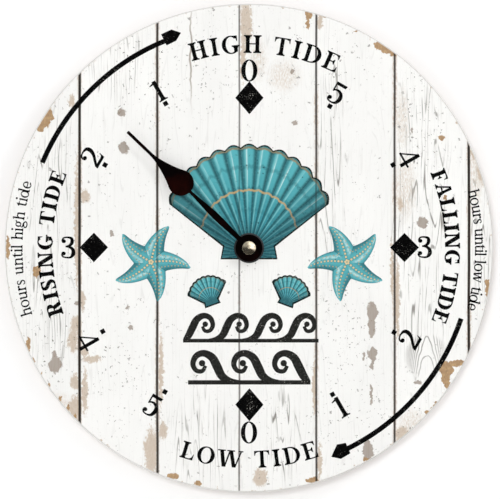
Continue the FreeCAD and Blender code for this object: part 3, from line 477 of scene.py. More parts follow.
def bowl(x, y, across, up, side, top, start, end):
    """A stretch of such a ring between two directions, in degrees anticlockwise from the right."""
    steps = max(4, round(abs(end - start) / ARC_STEP))
    turns = [math.radians(start + (end - start) * i / steps) for i in range(steps + 1)]
    outer = [(x + across * math.cos(t), y + up * math.sin(t)) for t in turns]
    inner = [(x + (across - side) * math.cos(t), y + (up - top) * math.sin(t)) for t in turns]
    return [outer + inner[::-1]]


def bar(left, bottom, right, top):
    return [[(left, bottom), (right, bottom), (right, top), (left, top)]]


def slope(foot, low, head, high, width):
    """A slanted bar, cut level at both ends, from its left edge at the foot to its left edge at the head."""
    return [[(foot, low), (foot + width, low), (head + width, high), (head, high)]]


def ball(x, y, radius):
    return [oval(x, y, radius, radius)]


def pen(points):
    """A stroke along a smooth line through points (x, y, width)."""
    ends = [points[0]] + list(points) + [points[-1]]
    line = []
    for i in range(1, len(ends) - 2):
        before, here, there, after = ends[i - 1:i + 3]
        for step in range(PEN_STEPS):
            t = step / PEN_STEPS
            line.append([
                0.5 * (2 * b + (c - a) * t + (2 * a - 5 * b + 4 * c - d) * t * t
                       + (3 * b - a - 3 * c + d) * t ** 3)
                for a, b, c, d in zip(before, here, there, after)])
    line.append(list(points[-1]))
    left = []
    right = []
    for i, (x, y, width) in enumerate(line):
        back = line[max(i - 1, 0)]
        front = line[min(i + 1, len(line) - 1)]
        along = math.hypot(front[0] - back[0], front[1] - back[1])
        side = ((back[1] - front[1]) / along * width / 2, (front[0] - back[0]) / along * width / 2)
        left.append((x + side[0], y + side[1]))
        right.append((x - side[0], y - side[1]))
    runs = zip(left, left[1:], right, right[1:])
    return [piece for a, b, c, d in runs for piece in ([a, b, c], [b, d, c])]


def foot(x, width, y, up, hair, left=REACH, right=REACH):
    """A bracketed serif on the end of a stem: up is 1 at its bottom end and -1 at its top end."""
    edge = [(x - left, y), (x + width + right, y)]
    if right:
        edge += [(x + width + right, y + up * hair), (x + width + right * 0.35, y + up * hair * 1.3)]
    edge += [(x + width, y + up * hair * 2.6), (x, y + up * hair * 2.6)]
    if left:
        edge += [(x - left * 0.35, y + up * hair * 1.3), (x - left, y + up * hair)]
    return [edge]


def beak(x, y, up, length, hair, lean=-1):
    """The wedge at the end of an arm, from its outer corner: up is -1 where it hangs, 1 where it stands."""
    tip = y + up * length
    return [[(x, y), (x, tip), (x + lean * 0.03, tip), (x + lean * 0.085, y + up * length * 0.45),
             (x + lean * 0.2, y + up * hair), (x + lean * 0.2, y)]]


def stem(x, width, hair, low_serif="both", high_serif="both"):
    """A full-height stem; the serif at each end is on both sides, on the left or none."""
    shapes = [bar(x, 0, x + width, 1)]
    for end, up, serif in ((0, 1, low_serif), (1, -1, high_serif)):
        if serif != "none":
            shapes.append(foot(x, width, end, up, hair, right=REACH if serif == "both" else 0))
    return shapes


def flag(x, width, y):
    """The slanted serif at the top left of a small letter's stem."""
    return [[(x + width, y), (x + width * 0.4, y), (x - REACH * 1.1, y - 0.1), (x - REACH * 1.1, y - 0.15),
             (x, y - 0.14), (x + width, y - 0.2)]]


def vee(x, left, right, thick, hair):
    """A thick and a thin slope that meet at the foot."""
    return [slope(x - thick * 0.7, 0, left, 1, thick * 1.05), slope(x - hair * 0.4, 0, right, 1, hair * 1.2)]


def capitals(thick, hair):
    """The capital letters that the dial needs, as {letter: (width, shapes)}."""
    r = REACH
    past = r + thick
    post = hair * 1.25
    limb = thick * 1.12

    def arms(y, end, hang):
        """The top arm of E and F, and the middle one with its serif, whose outer end is at (end, y)."""
        tongue = [(end, y - 0.13), (end, y + 0.18), (end - 0.025, y + 0.18), (end - 0.11, y + hair),
                  (end - 0.11, y), (end - 0.025, y - 0.13)]
        return [bar(r, 1 - hair, 0.70, 1), beak(0.70, 1, -1, hang, hair),
                bar(past - 0.01, y, end - 0.05, y + hair), [tongue]]

    return {
        "H": (0.90, stem(r, thick, hair) + stem(0.90 - past, thick, hair) + [
            bar(past, 0.48, 0.90 - past, 0.48 + hair)]),
        "I": (2 * r + thick, stem(r, thick, hair)),
        "T": (0.80, stem(0.40 - thick / 2, thick, hair, high_serif="none") + [
            bar(0, 1 - hair, 0.80, 1), beak(0, 1, -1, 0.28, hair, lean=1), beak(0.80, 1, -1, 0.28, hair)]),
        "D": (0.90, stem(r, thick, hair, low_serif="left", high_serif="left") + [
            bar(r, 1 - hair, past + 0.1, 1), bar(r, 0, past + 0.1, hair),
            bowl(past + 0.09, 0.5, 0.81 - past, 0.5, thick * 1.05, hair, -90, 90)]),
        "E": (0.76, stem(r, thick, hair, low_serif="left", high_serif="left") + arms(0.49, 0.55, 0.27) + [
            bar(r, 0, 0.76, hair), beak(0.76, 0, 1, 0.31, hair)]),
        "F": (0.70, stem(r, thick, hair, high_serif="left") + arms(0.46, 0.53, 0.29)),
        "L": (0.72, stem(r, thick, hair, low_serif="left") + [
            bar(r, 0, 0.72, hair), beak(0.72, 0, 1, 0.36, hair)]),
        "O": (0.94, [ring(0.47, 0.5, 0.47, 0.515, thick * 1.08, hair)]),
        "G": (0.93, [
            bowl(0.47, 0.5, 0.47, 0.515, thick * 1.08, hair, 47, 312), beak(0.80, 1.0, -1, 0.32, hair),
            bar(0.80 - thick, 0.09, 0.80, 0.46), foot(0.80 - thick, thick, 0.46, -1, hair)]),
        "R": (0.90, stem(r, thick, hair, high_serif="left") + [
            bar(r, 1 - hair, past + 0.13, 1), bar(past - 0.01, 0.47, past + 0.13, 0.47 + hair),
            bowl(past + 0.12, 0.735, 0.70 - past - 0.05, 0.265, thick, hair, -90, 90),
            slope(0.80 - thick * 0.95, 0, 0.40, 0.5, thick * 1.05), bar(0.72 - thick * 0.6, 0, 0.90, hair)]),
        "S": (0.62, [
            pen([(0.53, 0.76, hair), (0.46, 0.90, hair * 1.1), (0.32, 0.985 - hair / 2, hair * 1.2),
                 (0.15, 0.89, thick * 0.72), (0.115, 0.73, thick * 0.9), (0.22, 0.585, thick),
                 (0.40, 0.47, thick * 1.02), (0.51, 0.31, thick * 0.95), (0.46, 0.12, thick * 0.74),
                 (0.30, 0.015 + hair / 2, hair * 1.2), (0.15, 0.09, hair * 1.1), (0.075, 0.26, hair)]),
            beak(0.555, 1.0, -1, 0.33, hair), beak(0.05, 0.0, 1, 0.35, hair, lean=1)]),
        "N": (0.96, [
            bar(r, 0, r + post, 1), foot(r, post, 0, 1, hair), foot(r, thick, 1, -1, hair, right=0),
            bar(0.96 - r - post, 0, 0.96 - r, 1), foot(0.96 - r - post, post, 1, -1, hair),
            slope(0.96 - r - thick * 1.15, 0, r - 0.02, 1, thick * 1.15)]),
        "A": (0.94, [
            slope(0.11, 0, 0.47 - hair, 1, post), slope(0.83 - limb, 0, 0.44, 1, limb * 0.62),
            [[(0.83 - limb, 0), (0.83, 0), (0.50, 1.0), (0.44, 1.0)]],
            bar(0.22, 0.31, 0.68, 0.31 + hair), foot(0.11, post, 0, 1, hair * 0.8),
            foot(0.83 - limb, limb, 0, 1, hair * 0.8)]),
        "W": (1.36, vee(0.40, 0.11, 0.62, thick, hair) + vee(0.95, 0.60, 1.22, thick, hair) + [
            bar(0, 1 - hair, 0.11 + thick + 0.12, 1), bar(0.50, 1 - hair, 0.60 + thick + 0.12, 1),
            bar(1.10, 1 - hair, 1.36, 1)])}


def small_letters(thick, hair):
    """The small letters that the dial needs, where a height of 1 is that of the letter o."""
    r = REACH
    past = r + thick
    tall = 1.45
    right_stem = 0.86 - thick
    back = 0.80 - thick * 0.2

    def upright(top, tip):
        """A letter's first stem, with the slanted serif at its tip and its foot."""
        return [bar(r, 0, past, top), flag(r, thick, tip), foot(r, thick, 0, 1, hair)]

    arch = [
        pen([(past - 0.02, 0.72, hair), (past + 0.12, 0.90, hair * 1.5), (0.56, 0.965 - hair, thick * 0.75),
             (right_stem + thick * 0.3, 0.86, thick * 0.95), (right_stem + thick / 2, 0.66, thick)]),
        bar(right_stem, 0, right_stem + thick, 0.68), foot(right_stem, thick, 0, 1, hair)]
    return {
        "o": (0.94, [ring(0.47, 0.5, 0.47, 0.52, thick * 1.05, hair * 1.2)]),
        "h": (0.86 + r, upright(tall, tall) + arch),
        "n": (0.86 + r, upright(1, 1.02) + arch),
        "u": (0.90 + r, [
            bar(r, 0.3, past, 0.98), flag(r, thick, 1.0), bar(right_stem, 0, right_stem + thick, 1),
            flag(right_stem, thick, 1.0), foot(right_stem, thick, 0, 1, hair, left=0),
            pen([(r + thick / 2, 0.34, thick), (r + thick * 0.7, 0.13, thick * 0.95),
                 (0.44, 0.02 + hair, thick * 0.7), (right_stem - 0.12, 0.10, hair * 1.5),
                 (right_stem + 0.02, 0.28, hair)])]),
        "r": (0.66, upright(1, 1.02) + [
            pen([(past - 0.02, 0.70, hair), (past + 0.10, 0.89, hair * 1.6), (0.52, 0.95, thick * 0.6)]),
            ball(0.56, 0.87, thick * 0.62)]),
        "s": (0.66, [
            pen([(0.55, 0.76, hair), (0.47, 0.92, hair * 1.2), (0.32, 0.99 - hair / 2, hair * 1.3),
                 (0.15, 0.87, thick * 0.75), (0.15, 0.70, thick * 0.85), (0.30, 0.55, thick * 0.95),
                 (0.49, 0.42, thick * 0.95), (0.54, 0.25, thick * 0.85), (0.46, 0.09, thick * 0.7),
                 (0.30, hair / 2, hair * 1.3), (0.15, 0.08, hair * 1.2), (0.075, 0.27, hair)])]),
        "t": (0.60, [
            bar(0.14, 0.22, 0.14 + thick, 1.16), bar(0.0, 1 - hair * 1.2, 0.54, 1),
            [[(0.14 + thick, 1.3), (0.14, 1.06), (0.0, 1.0), (0.0, 0.95), (0.14 + thick, 0.95)]],
            pen([(0.14 + thick / 2, 0.30, thick), (0.14 + thick * 0.62, 0.12, thick * 0.9),
                 (0.40, 0.035 + hair / 2, hair * 1.8), (0.57, 0.14, hair)])]),
        "i": (2 * r + thick, upright(1, 1.02) + [ball(r + thick / 2, 1.36, thick * 0.66)]),
        "l": (2 * r + thick, upright(tall, tall)),
        "g": (0.92, [
            ring(0.40, 0.66, 0.33, 0.36, thick * 0.95, hair * 1.2),
            ring(0.43, -0.20, 0.42, 0.27, thick * 0.8, hair * 1.4),
            pen([(0.20, 0.38, hair), (0.11, 0.26, thick * 0.6), (0.16, 0.14, thick * 0.8),
                 (0.42, 0.07, thick * 0.9), (0.68, 0.0, thick * 0.8)]),
            pen([(0.64, 0.86, hair * 1.2), (0.76, 0.96, hair * 1.6), (0.86, 0.98, thick * 0.7)])]),
        "d": (0.98 + r, [
            ring(0.44, 0.49, 0.44, 0.51, thick, hair * 1.2), bar(back, 0, back + thick, tall),
            flag(back, thick, tall), foot(back, thick, 0, 1, hair, left=0)]),
        "e": (0.84, [
            bowl(0.44, 0.5, 0.42, 0.52, thick, hair * 1.2, 0, 318),
            bar(0.10, 0.5 - hair, 0.86 - hair, 0.5 + hair * 0.3), ball(0.75, 0.17, hair * 0.8)]),
        "w": (1.36, vee(0.40, 0.10, 0.64, thick, hair) + vee(0.94, 0.60, 1.20, thick, hair) + [
            bar(0, 1 - hair, 0.40, 1), bar(0.52, 1 - hair, 0.90, 1), bar(1.08, 1 - hair, 1.34, 1)])}


def figures(thick, hair):
    """The figures 0 to 5."""
    past = 0.18 + thick
    return {
        "0": (0.67, [ring(0.335, 0.5, 0.335, 0.51, thick * 1.05, hair)]),
        "1": (0.50, stem(0.18, thick, hair, high_serif="none") + [
            [[(past, 1.0), (past - 0.04, 1.0), (0.02, 0.88), (0.02, 0.84), (past, 0.87)]]]),
        "2": (0.64, [
            ball(0.135, 0.745, 0.092),
            pen([(0.065, 0.76, hair * 1.4), (0.12, 0.91, hair * 1.3), (0.30, 0.985 - hair / 2, hair * 1.4),
                 (0.49, 0.89, thick * 0.85), (0.53, 0.70, thick), (0.43, 0.47, thick * 0.8),
                 (0.22, 0.25, hair * 2.2), (0.07, 0.08, hair * 1.8)]),
            [[(0.03, 0.0), (0.585, 0.0), (0.635, 0.27), (0.60, 0.27), (0.555, 0.155), (0.46, 0.135),
              (0.12, 0.135), (0.03, 0.07)]]]),
        "3": (0.61, [
            ball(0.135, 0.78, 0.088),
            pen([(0.07, 0.80, hair * 1.4), (0.13, 0.93, hair * 1.3), (0.29, 0.985 - hair / 2, hair * 1.4),
                 (0.455, 0.90, thick * 0.75), (0.47, 0.71, thick * 0.85), (0.37, 0.575, hair * 2.0),
                 (0.21, 0.535, hair * 1.2)]),
            pen([(0.21, 0.535, hair * 1.2), (0.38, 0.51, hair * 2.0), (0.51, 0.39, thick * 0.85),
                 (0.525, 0.20, thick), (0.42, 0.045, thick * 0.6), (0.26, hair / 2, hair * 1.4),
                 (0.10, 0.07, hair * 1.3), (0.05, 0.19, hair * 1.4)]),
            ball(0.125, 0.215, 0.09)]),
        "4": (0.70, [
            bar(0.41, 0, 0.41 + thick * 0.85, 1.0), slope(0.0, 0.27, 0.45, 1.0, hair * 1.3),
            bar(0.0, 0.23, 0.70, 0.23 + hair * 1.7)]),
        "5": (0.61, [
            [[(0.115, 1.0), (0.575, 1.0), (0.535, 0.855), (0.115, 0.855)]],
            bar(0.085, 0.52, 0.085 + hair * 1.2, 1.0),
            pen([(0.10, 0.545, hair * 1.2), (0.20, 0.62, hair * 1.5), (0.34, 0.63, hair * 2.2),
                 (0.485, 0.52, thick * 0.85), (0.525, 0.32, thick), (0.45, 0.10, thick * 0.75),
                 (0.30, hair / 2, hair * 1.4), (0.12, 0.05, hair * 1.3), (0.05, 0.17, hair * 1.4)]),
            ball(0.125, 0.195, 0.09)])}


# Each font's letters, from the width of a thick and of a thin stroke on a height of 1
FONTS = {
    "figure": figures(0.168, 0.054),
    "regular": capitals(0.192, 0.068),
    "bold": capitals(0.235, 0.085),
    "small": small_letters(0.19, 0.09)}
drawn = {}


def letter_piece(font, letter):
    """A copy of a letter as a flat plate, its baseline's middle at the origin; each is drawn once."""
    if (font, letter) not in drawn:
        width, shapes = FONTS[font][letter]
        plate = flat_plate("letter", [outline for shape in shapes for outline in shape])
        plate.data.transform(Matrix.Translation((-width / 2, 0, 0)))
        drawn[font, letter] = plate.data
        bpy.data.objects.remove(plate)
    piece = bpy.data.objects.new("letter", drawn[font, letter].copy())
    bpy.context.scene.collection.objects.link(piece)
    return piece


# How wide a space is, and how much wider each font is set, on a letter height of 1
WORD_SPACE = {"regular": 0.3, "bold": 0.3, "small": 0.58}
LETTER_STRETCH = {"figure": 1.12, "regular": 1.1, "bold": 1.1, "small": 1.03}


def arc_words(font, words, height, radius, start, end, tops_out=True):
    """Words along an arc, in pixels, between two directions in degrees clockwise from the dial's top."""
    table = FONTS[font]
    stretch = LETTER_STRETCH[font]
    wide = height * stretch
    widths = [table[letter][0] * wide if letter != " " else WORD_SPACE[font] * wide for letter in words]
    span = math.radians(abs(end - start)) * radius
    gap = (span - sum(widths)) / (len(words) - 1)
    sense = 1 if tops_out else -1
    pieces = []
    along = 0.0
    for letter, width in zip(words, widths):
        if letter != " ":
            turn = start + sense * math.degrees((along + width / 2) / radius)
            across = radius * math.sin(math.radians(turn))
            up = radius * math.cos(math.radians(turn))
            piece = letter_piece(font, letter)
            tilt = turn if tops_out else turn - 180
            pieces.append(on_dial(piece, across, up, tilt, height, stretch=stretch))
        along += width + gap
    return pieces


def figure_at(number, x, y, turn):
    """A figure whose middle is at a pixel of the photograph, turned clockwise."""
    across, up = from_pixels((x, y))
    lower = FIGURE_HEIGHT / 2
    across -= lower * math.sin(math.radians(turn))
    up -= lower * math.cos(math.radians(turn))
    stretch = LETTER_STRETCH["figure"]
    return on_dial(letter_piece("figure", number), across, up, turn, FIGURE_HEIGHT, stretch=stretch)


def pixel_plate(outlines):
    """A plate whose outlines are given in pixels of the photograph, laid on the dial."""
    plate = flat_plate("plate", [[from_pixels(point) for point in outline] for outline in outlines])
    return on_dial(plate, 0, 0, 0, 1)


# ---------------------------------------------------------------- the dial's print

FIGURE_HEIGHT = 21.7
# Figure, its middle in pixels, and its turn
FIGURE_PLACES = [
    ("0", 249.3, 70.5, 0), ("5", 336.9, 93.3, 30), ("4", 408.2, 157.8, 60), ("3", 424.4, 246.9, 0),
    ("2", 409.4, 339.3, -60), ("1", 340.6, 407.0, -30), ("0", 249.0, 432.5, 0), ("5", 152.3, 405.5, 30),
    ("4", 87.7, 341.2, 60), ("3", 67.9, 247.3, 0), ("2", 91.7, 157.0, -60), ("1", 158.3, 91.0, -30)]
DOT_HALF = 2.3
# Direction of each dot, clockwise from the top, and its distance from the middle
DOT_PLACES = [
    (29.7, 163.2), (60, 166.3), (120.2, 167.8), (150.3, 168.6), (210.3, 166.6), (240.3, 168.4), (300, 166.2),
    (330, 166.8)]
# Middle, half width and half height of each diamond, in pixels
DIAMONDS = [
    (249.4, 97.8, 14.1, 16.5), (404.5, 247.5, 14.5, 14.6), (249.4, 404.7, 14.1, 16.5),
    (93.9, 247.4, 14.2, 14.8)]
ARROW_RADIUS = 223.5
ARROW_HALF = 2.5
# Start and end of each arc, clockwise from the top, and its head's corners in pixels
ARROWS = [
    (292.4, 341.0, [(181.0, 32.7), (171.4, 29.5), (161.0, 34.3), (166.6, 45.4), (176.2, 40.7)]),
    (108.4, 156.0, [(331.3, 456.8), (336.9, 444.5), (345.7, 442.9), (350.4, 453.3), (340.9, 458.9)])]
ARROW_STEPS = 48
# Font, words, height of a letter, radius of their feet, the directions where they start and end, and False
# where their tops point to the middle
DIAL_WORDS = {
    "high_low_words": [
        ("regular", "HIGH TIDE", 17.9, 195.0, -17.0, 26.0),
        ("regular", "LOW TIDE", 17.0, 220.0, 198.5, 161.5, False)],
    "rising_falling_words": [
        ("bold", "RISING TIDE", 15.0, 196.5, 250.5, 292.0),
        ("bold", "FALLING TIDE", 15.0, 196.0, 67.5, 111.5)],
    "hours_words": [
        ("small", "hours until high tide", 8.1, 226.5, 253.0, 286.7),
        ("small", "hours until low tide", 8.1, 226.0, 75.4, 105.7)]}


def on_circle(radius, turn):
    """The pixel at a distance and direction, clockwise from the top, from the dial's middle."""
    angle = math.radians(turn)
    return (DIAL_MIDDLE[0] + radius * math.sin(angle), DIAL_MIDDLE[1] - radius * math.cos(angle))


def arrow(start, end, head):
    turns = [start + (end - start) * i / ARROW_STEPS for i in range(ARROW_STEPS + 1)]
    outer = [on_circle(ARROW_RADIUS + ARROW_HALF, turn) for turn in turns]
    inner = [on_circle(ARROW_RADIUS - ARROW_HALF, turn) for turn in turns]
    return pixel_plate([outer + inner[::-1], head])


def diamond(x, y, across, up):
    return pixel_plate([[(x - across, y), (x, y + up), (x + across, y), (x, y - up)]])


def dot(turn, radius):
    across, up = from_pixels(on_circle(radius, turn))
    plate = flat_plate("dot", bar(-DOT_HALF, -DOT_HALF, DOT_HALF, DOT_HALF))
    return on_dial(plate, across, up, turn, 1)


def print_dial(ink):
    groups = {
        "hour_figures": [figure_at(*place) for place in FIGURE_PLACES],
        "hour_dots": [dot(*place) for place in DOT_PLACES],
        "quarter_diamonds": [diamond(*place) for place in DIAMONDS],
        "tide_arrows": [arrow(*place) for place in ARROWS]}
    for name, lines in DIAL_WORDS.items():
        groups[name] = [piece for line in lines for piece in arc_words(*line)]
    for name, pieces in groups.items():
        finished(settled(joined(name, pieces)), "clock_body", ink)


# ---------------------------------------------------------------- the dial's picture: shells and starfish

PAINT = 0.07 * MM
OUTLINE = 0.045 * MM
OUTLINE_WIDTH = 1.5
# Hinge, radius, half spread in degrees, ribs and lean of the shells; the small ones are a mirrored pair
SCALLOP = {"hinge": (249.0, 253.0), "radius": 108.0, "spread": 58.0, "ribs": 13, "lean": 0.0}
COCKLE = {"hinge": (212.0, 303.0), "radius": 27.0, "spread": 52.0, "ribs": 9, "lean": -20.0}
FAN_DROOP = 0.13
RIB_BULGE = 0.035
RIB_STEPS = 8
STAR_MIDDLE = (151.0, 262.0)
STAR_RADIUS = 39.0
STAR_ARMS = 5
STAR_LEAN = 12.0
STAR_CURL = 14.0
STAR_STEPS = 12
# Where along an arm it parts from its neighbours, and the step of the bumps along it
STAR_VALLEY = 0.37
STAR_BUMP_STEP = 0.088
# Rows of curling waves: left, right, foot, height, number of waves, and the side they run to
WAVE_ROWS = [(183.0, 318.5, 342.5, 30.5, 4, 1), (188.0, 310.5, 384.5, 35.5, 3, -1)]
WAVE_FOOT = 0.12
# One wave, where the height is 1 and the next wave starts at WAVE_PITCH
WAVE_PITCH = 1.12
WAVE_LINE = [
    (-0.34, 0.06, 0.10), (-0.04, 0.10, 0.17), (0.19, 0.24, 0.23), (0.32, 0.50, 0.25), (0.46, 0.76, 0.23),
    (0.69, 0.88, 0.19), (0.90, 0.80, 0.17), (0.985, 0.58, 0.15), (0.90, 0.40, 0.13), (0.73, 0.38, 0.12),
    (0.64, 0.53, 0.10)]
WAVE_EYE = (0.735, 0.60, 0.09)


def fan_edge(shell, share):
    """The rim's distance from the hinge, share running from -1 to 1 across the spread."""
    rib = abs(math.sin(math.pi * shell["ribs"] * (share + 1) / 2))
    return shell["radius"] * (1 - FAN_DROOP * share * share) * (1 - RIB_BULGE * (1 - rib))


def fan(shell, grow):
    """A ribbed fan and its two ears about the hinge, in pixels, larger all round by grow."""
    steps = shell["ribs"] * RIB_STEPS
    spread = math.radians(shell["spread"])
    rim = []
    for i in range(steps + 1):
        share = 2 * i / steps - 1
        reach = fan_edge(shell, share) + grow
        turn = spread * share
        side = grow * share ** 5
        rim.append((reach * math.sin(turn) + side, reach * math.cos(turn)))
    unit = shell["radius"] / 10
    low = 0.45 * unit + grow
    ears = [(-2.5 * unit - grow, -low), (2.5 * unit + grow, -low), (2.1 * unit + grow, 1.5 * unit + grow),
            (-2.1 * unit - grow, 1.5 * unit + grow)]
    return [rim + [(0.8 * unit + grow, -low), (-0.8 * unit - grow, -low)], ears]


def star_arm_width(along):
    """The full width of an arm, as a share of the starfish's radius, along running from 0 to 1."""
    return 0.62 * (1 - along) ** 0.72 + 0.06


def star(grow):
    """A starfish with gently curled arms, in pixels, outlined arm by arm."""
    outline = []
    for arm in range(STAR_ARMS):
        sides = {1: [], -1: []}
        for i in range(STAR_STEPS + 1):
            along = STAR_VALLEY + (1 - STAR_VALLEY) * i / STAR_STEPS
            turn = math.radians(360 * arm / STAR_ARMS + STAR_LEAN + STAR_CURL * along * along)
            half = star_arm_width(along) * STAR_RADIUS / 2 + grow
            reach = along * STAR_RADIUS
            for side, line in sides.items():
                line.append((reach * math.sin(turn) + side * half * math.cos(turn),
                             reach * math.cos(turn) - side * half * math.sin(turn)))
        tip = (STAR_RADIUS + half) * math.sin(turn), (STAR_RADIUS + half) * math.cos(turn)
        outline += sides[-1] + [tip] + sides[1][::-1]
    return [outline]


def motif(name, outlines, middle, lean, proud, material):
    """Lays a motif on the dial at a pixel, and with it its mirror image where it stands to one side."""
    pieces = []
    sides = (1,) if middle[0] == DIAL_MIDDLE[0] else (1, -1)
    for side in sides:
        plate = flat_plate("motif", [[(x * side, y) for x, y in outline] for outline in outlines])
        across, up = from_pixels(middle)
        pieces.append(settled(on_dial(plate, across * side, up, lean * side, 1, proud)))
    finished(joined(name, pieces), "clock_body", material)


def print_picture(outline):
    for name, shell in (("scallop", SCALLOP), ("cockles", COCKLE)):
        place = (shell["hinge"], shell["lean"])
        motif(name + "_outline", fan(shell, OUTLINE_WIDTH), *place, OUTLINE, outline)
        motif(name + "_paint", fan(shell, 0), *place, PAINT, shell_material(name, shell))
    motif("starfish_outline", star(OUTLINE_WIDTH), STAR_MIDDLE, 0, OUTLINE, outline)
    motif("starfish_paint", star(0), STAR_MIDDLE, 0, PAINT, star_material())


def print_waves(ink):
    for number, (left, right, low, height, count, side) in enumerate(WAVE_ROWS):
        pitch = (right - left) / count / height
        squeeze = pitch / WAVE_PITCH
        outlines = bar(0, 0, count * pitch, WAVE_FOOT)
        for i in range(count):
            x = i * pitch
            outlines += pen([(max(x + px * squeeze, width / 2), py, width) for px, py, width in WAVE_LINE])
            outlines += ball(x + WAVE_EYE[0] * squeeze, WAVE_EYE[1], WAVE_EYE[2])
        middle = count * pitch / 2
        plate = flat_plate("wave_row_" + str(number + 1), [
            [((x - middle) * side, y) for x, y in outline] for outline in outlines])
        across, up = from_pixels(((left + right) / 2, low))
        settled(on_dial(plate, across, up, 0, height))
        finished(plate, "clock_body", ink)


# ---------------------------------------------------------------- materials of the print

# Printed gaps between the planks: place across in pixels, half width and darkness
PLANK_GAPS = [
    (79.6, 1.35, 1.0), (157.3, 1.2, 0.96), (239.3, 0.85, 0.76), (316.2, 1.05, 0.92),
    (394.6, 1.05, 0.94), (468.8, 1.3, 1.0)]
# Where the wood's grain shows most: middle, half width and half height, in pixels
GRAIN_PATCHES = [
    (52, 190, 24, 90), (422, 215, 30, 170), (331, 165, 14, 120), (281, 435, 20, 45), (200, 440, 30, 45),
    (50, 310, 24, 60), (482, 230, 14, 80), (115, 60, 30, 40)]
# The nested arches at the lower right: the outer one's top, how sharply they bend, the step from one to the
# next, how far they wander, and the patch that they fill
ARCH_TOP = (427.0, 339.0)
ARCH_BEND = 0.30
ARCH_STEP = 14.4
ARCH_WANDER = 13.0
ARCH_PATCH = (427.0, 357.0, 21, 22)
# Clusters of specks
SPECK_PATCHES = [
    (127, 67, 16, 42), (118, 390, 22, 56), (345, 60, 20, 30), (425, 120, 24, 60), (345, 330, 26, 80),
    (60, 330, 30, 60), (190, 70, 40, 45), (355, 420, 40, 40), (416, 418, 20, 26), (80, 215, 12, 70)]
# Chips down to the raw wood colour
TAN_CHIPS = [
    (49.5, 115, 3.5, 6.5), (45, 121, 5.5, 6.5), (40, 128, 4.5, 3.5), (36.5, 272, 4.2, 6.2),
    (7.5, 247, 2.2, 13.0), (28, 346, 2.2, 9.0), (49, 387, 1.5, 3.2), (60, 399, 1.8, 3.4),
    (41, 375, 1.2, 3.4), (68, 408, 1.6, 3.0), (75, 415, 1.6, 2.4), (33, 360, 1.2, 3.4),
    (380, 45, 5.5, 5.0), (387, 50, 5.0, 3.6), (393.5, 53.5, 3.0, 3.0), (446, 369, 7.5, 7.0),
    (446, 378, 5.0, 6.0), (457, 363, 8.0, 3.4), (447.5, 385, 2.2, 4.0), (487.5, 288, 2.6, 8.5),
    (428, 413, 3.0, 2.8), (436, 405, 2.4, 2.6), (309, 14, 3.8, 3.6), (307.5, 22, 2.0, 7.0),
    (326, 15, 6.5, 2.2), (312, 480.5, 6.5, 2.6), (173, 476, 5.5, 3.4), (198, 484, 3.4, 2.8),
    (366, 459, 3.0, 1.8), (445.5, 198, 2.2, 2.6), (441.3, 137.6, 3.6, 2.6), (359, 30.5, 5.0, 1.0)]
# Pinkish wear, softer
PINK_WEAR = [
    (75.5, 324, 5.0, 8.0), (73, 340, 5.0, 12.0), (84, 352, 3.5, 4.5), (92, 359, 9.0, 3.6),
    (75, 382, 4.5, 8.0), (85, 392, 3.2, 22.0), (75, 408, 6.0, 12.0), (151, 452, 6.0, 24.0),
    (147, 446, 3.4, 6.0), (163, 430, 4.5, 9.0), (161, 370, 2.2, 34.0), (314.2, 388, 2.0, 26.0),
    (319.5, 462, 2.4, 18.0), (246, 24, 6.0, 24.0), (243, 60, 2.5, 22.0), (260.5, 478, 7.0, 9.0),
    (400, 205, 2.5, 7.0), (402, 434, 7.0, 7.0), (82, 300, 3.2, 10.0), (76.6, 225, 2.2, 62.0),
    (85.0, 196, 5.0, 6.0), (72, 101, 3.2, 6.0), (320, 20, 3.0, 9.0), (482, 165, 5.0, 18.0),
    (474, 150, 3.0, 10.0), (397.5, 300, 2.2, 40.0), (392, 270, 1.6, 30.0)]
# Thin washes of the same wear, softer still
PALE_WEAR = [
    (284, 76, 16.0, 15.0), (258, 60, 9.0, 20.0), (405, 188, 11.0, 32.0), (402, 120, 7.0, 30.0),
    (476, 170, 7.0, 40.0), (412, 425, 14.0, 16.0), (60, 408, 14.0, 14.0)]
# Old drips and spots, grey-brown
DRIPS = [
    (121.7, 112.1, 4.0, 4.0), (123.6, 148.6, 5.0, 6.0), (422.2, 222.7, 5.4, 5.2), (55.2, 365, 6.4, 7.6),
    (54.8, 356, 2.8, 5.0), (372.2, 312, 5.4, 10.0), (371.5, 326, 3.4, 11.0), (372.4, 354, 4.3, 7.6),
    (372.2, 363, 2.0, 7.0), (363.6, 356, 1.3, 4.2), (371.2, 394, 1.3, 10.0), (368, 451, 5.4, 8.4),
    (367.5, 443, 2.4, 6.0), (417.5, 382.5, 4.0, 2.2), (111.5, 234, 2.4, 4.4), (130.5, 328.5, 2.6, 2.6),
    (127.5, 307.5, 2.2, 1.8), (294.6, 122.8, 3.2, 2.2), (292.4, 71.4, 2.4, 2.6), (412.3, 130, 1.6, 2.4),
    (77, 303, 3.0, 2.6)]
CRACK = (190.8, 55.0, 0.9, 44.0)
# Cell, smallest and largest radius, and layer of three kinds of specks
FINE_SPECKS = (2.4, 0.12, 0.64, 1.0)
COARSE_SPECKS = (10.0, 0.25, 1.2, 5.0)
PAINT_SPECKS = (5.5, 0.1, 0.9, 9.0)
# In pixels: how far a gap sways and how softly it ends, how far the wear beside it reaches, and how far the
# patches, the crack and the worn rim stray
GAP_SWAY = 1.2
GAP_SOFT = 0.3
GAP_REACH = (0.5, 6.5)
PATCH_STRAY = 9.0
CRACK_STRAY = 7.0
RIM_STRAY = 26.0
# Where the pale rim starts, in pixels from the dial's middle
RIM_LINE = 243.3
# How deep the print reaches over the board's edge, how softly it ends, and how thin the brown back is
PRINT_DEPTH = 0.30 * MM
PRINT_FADE = 0.15 * MM
BACK_SKIN = 0.2 * MM

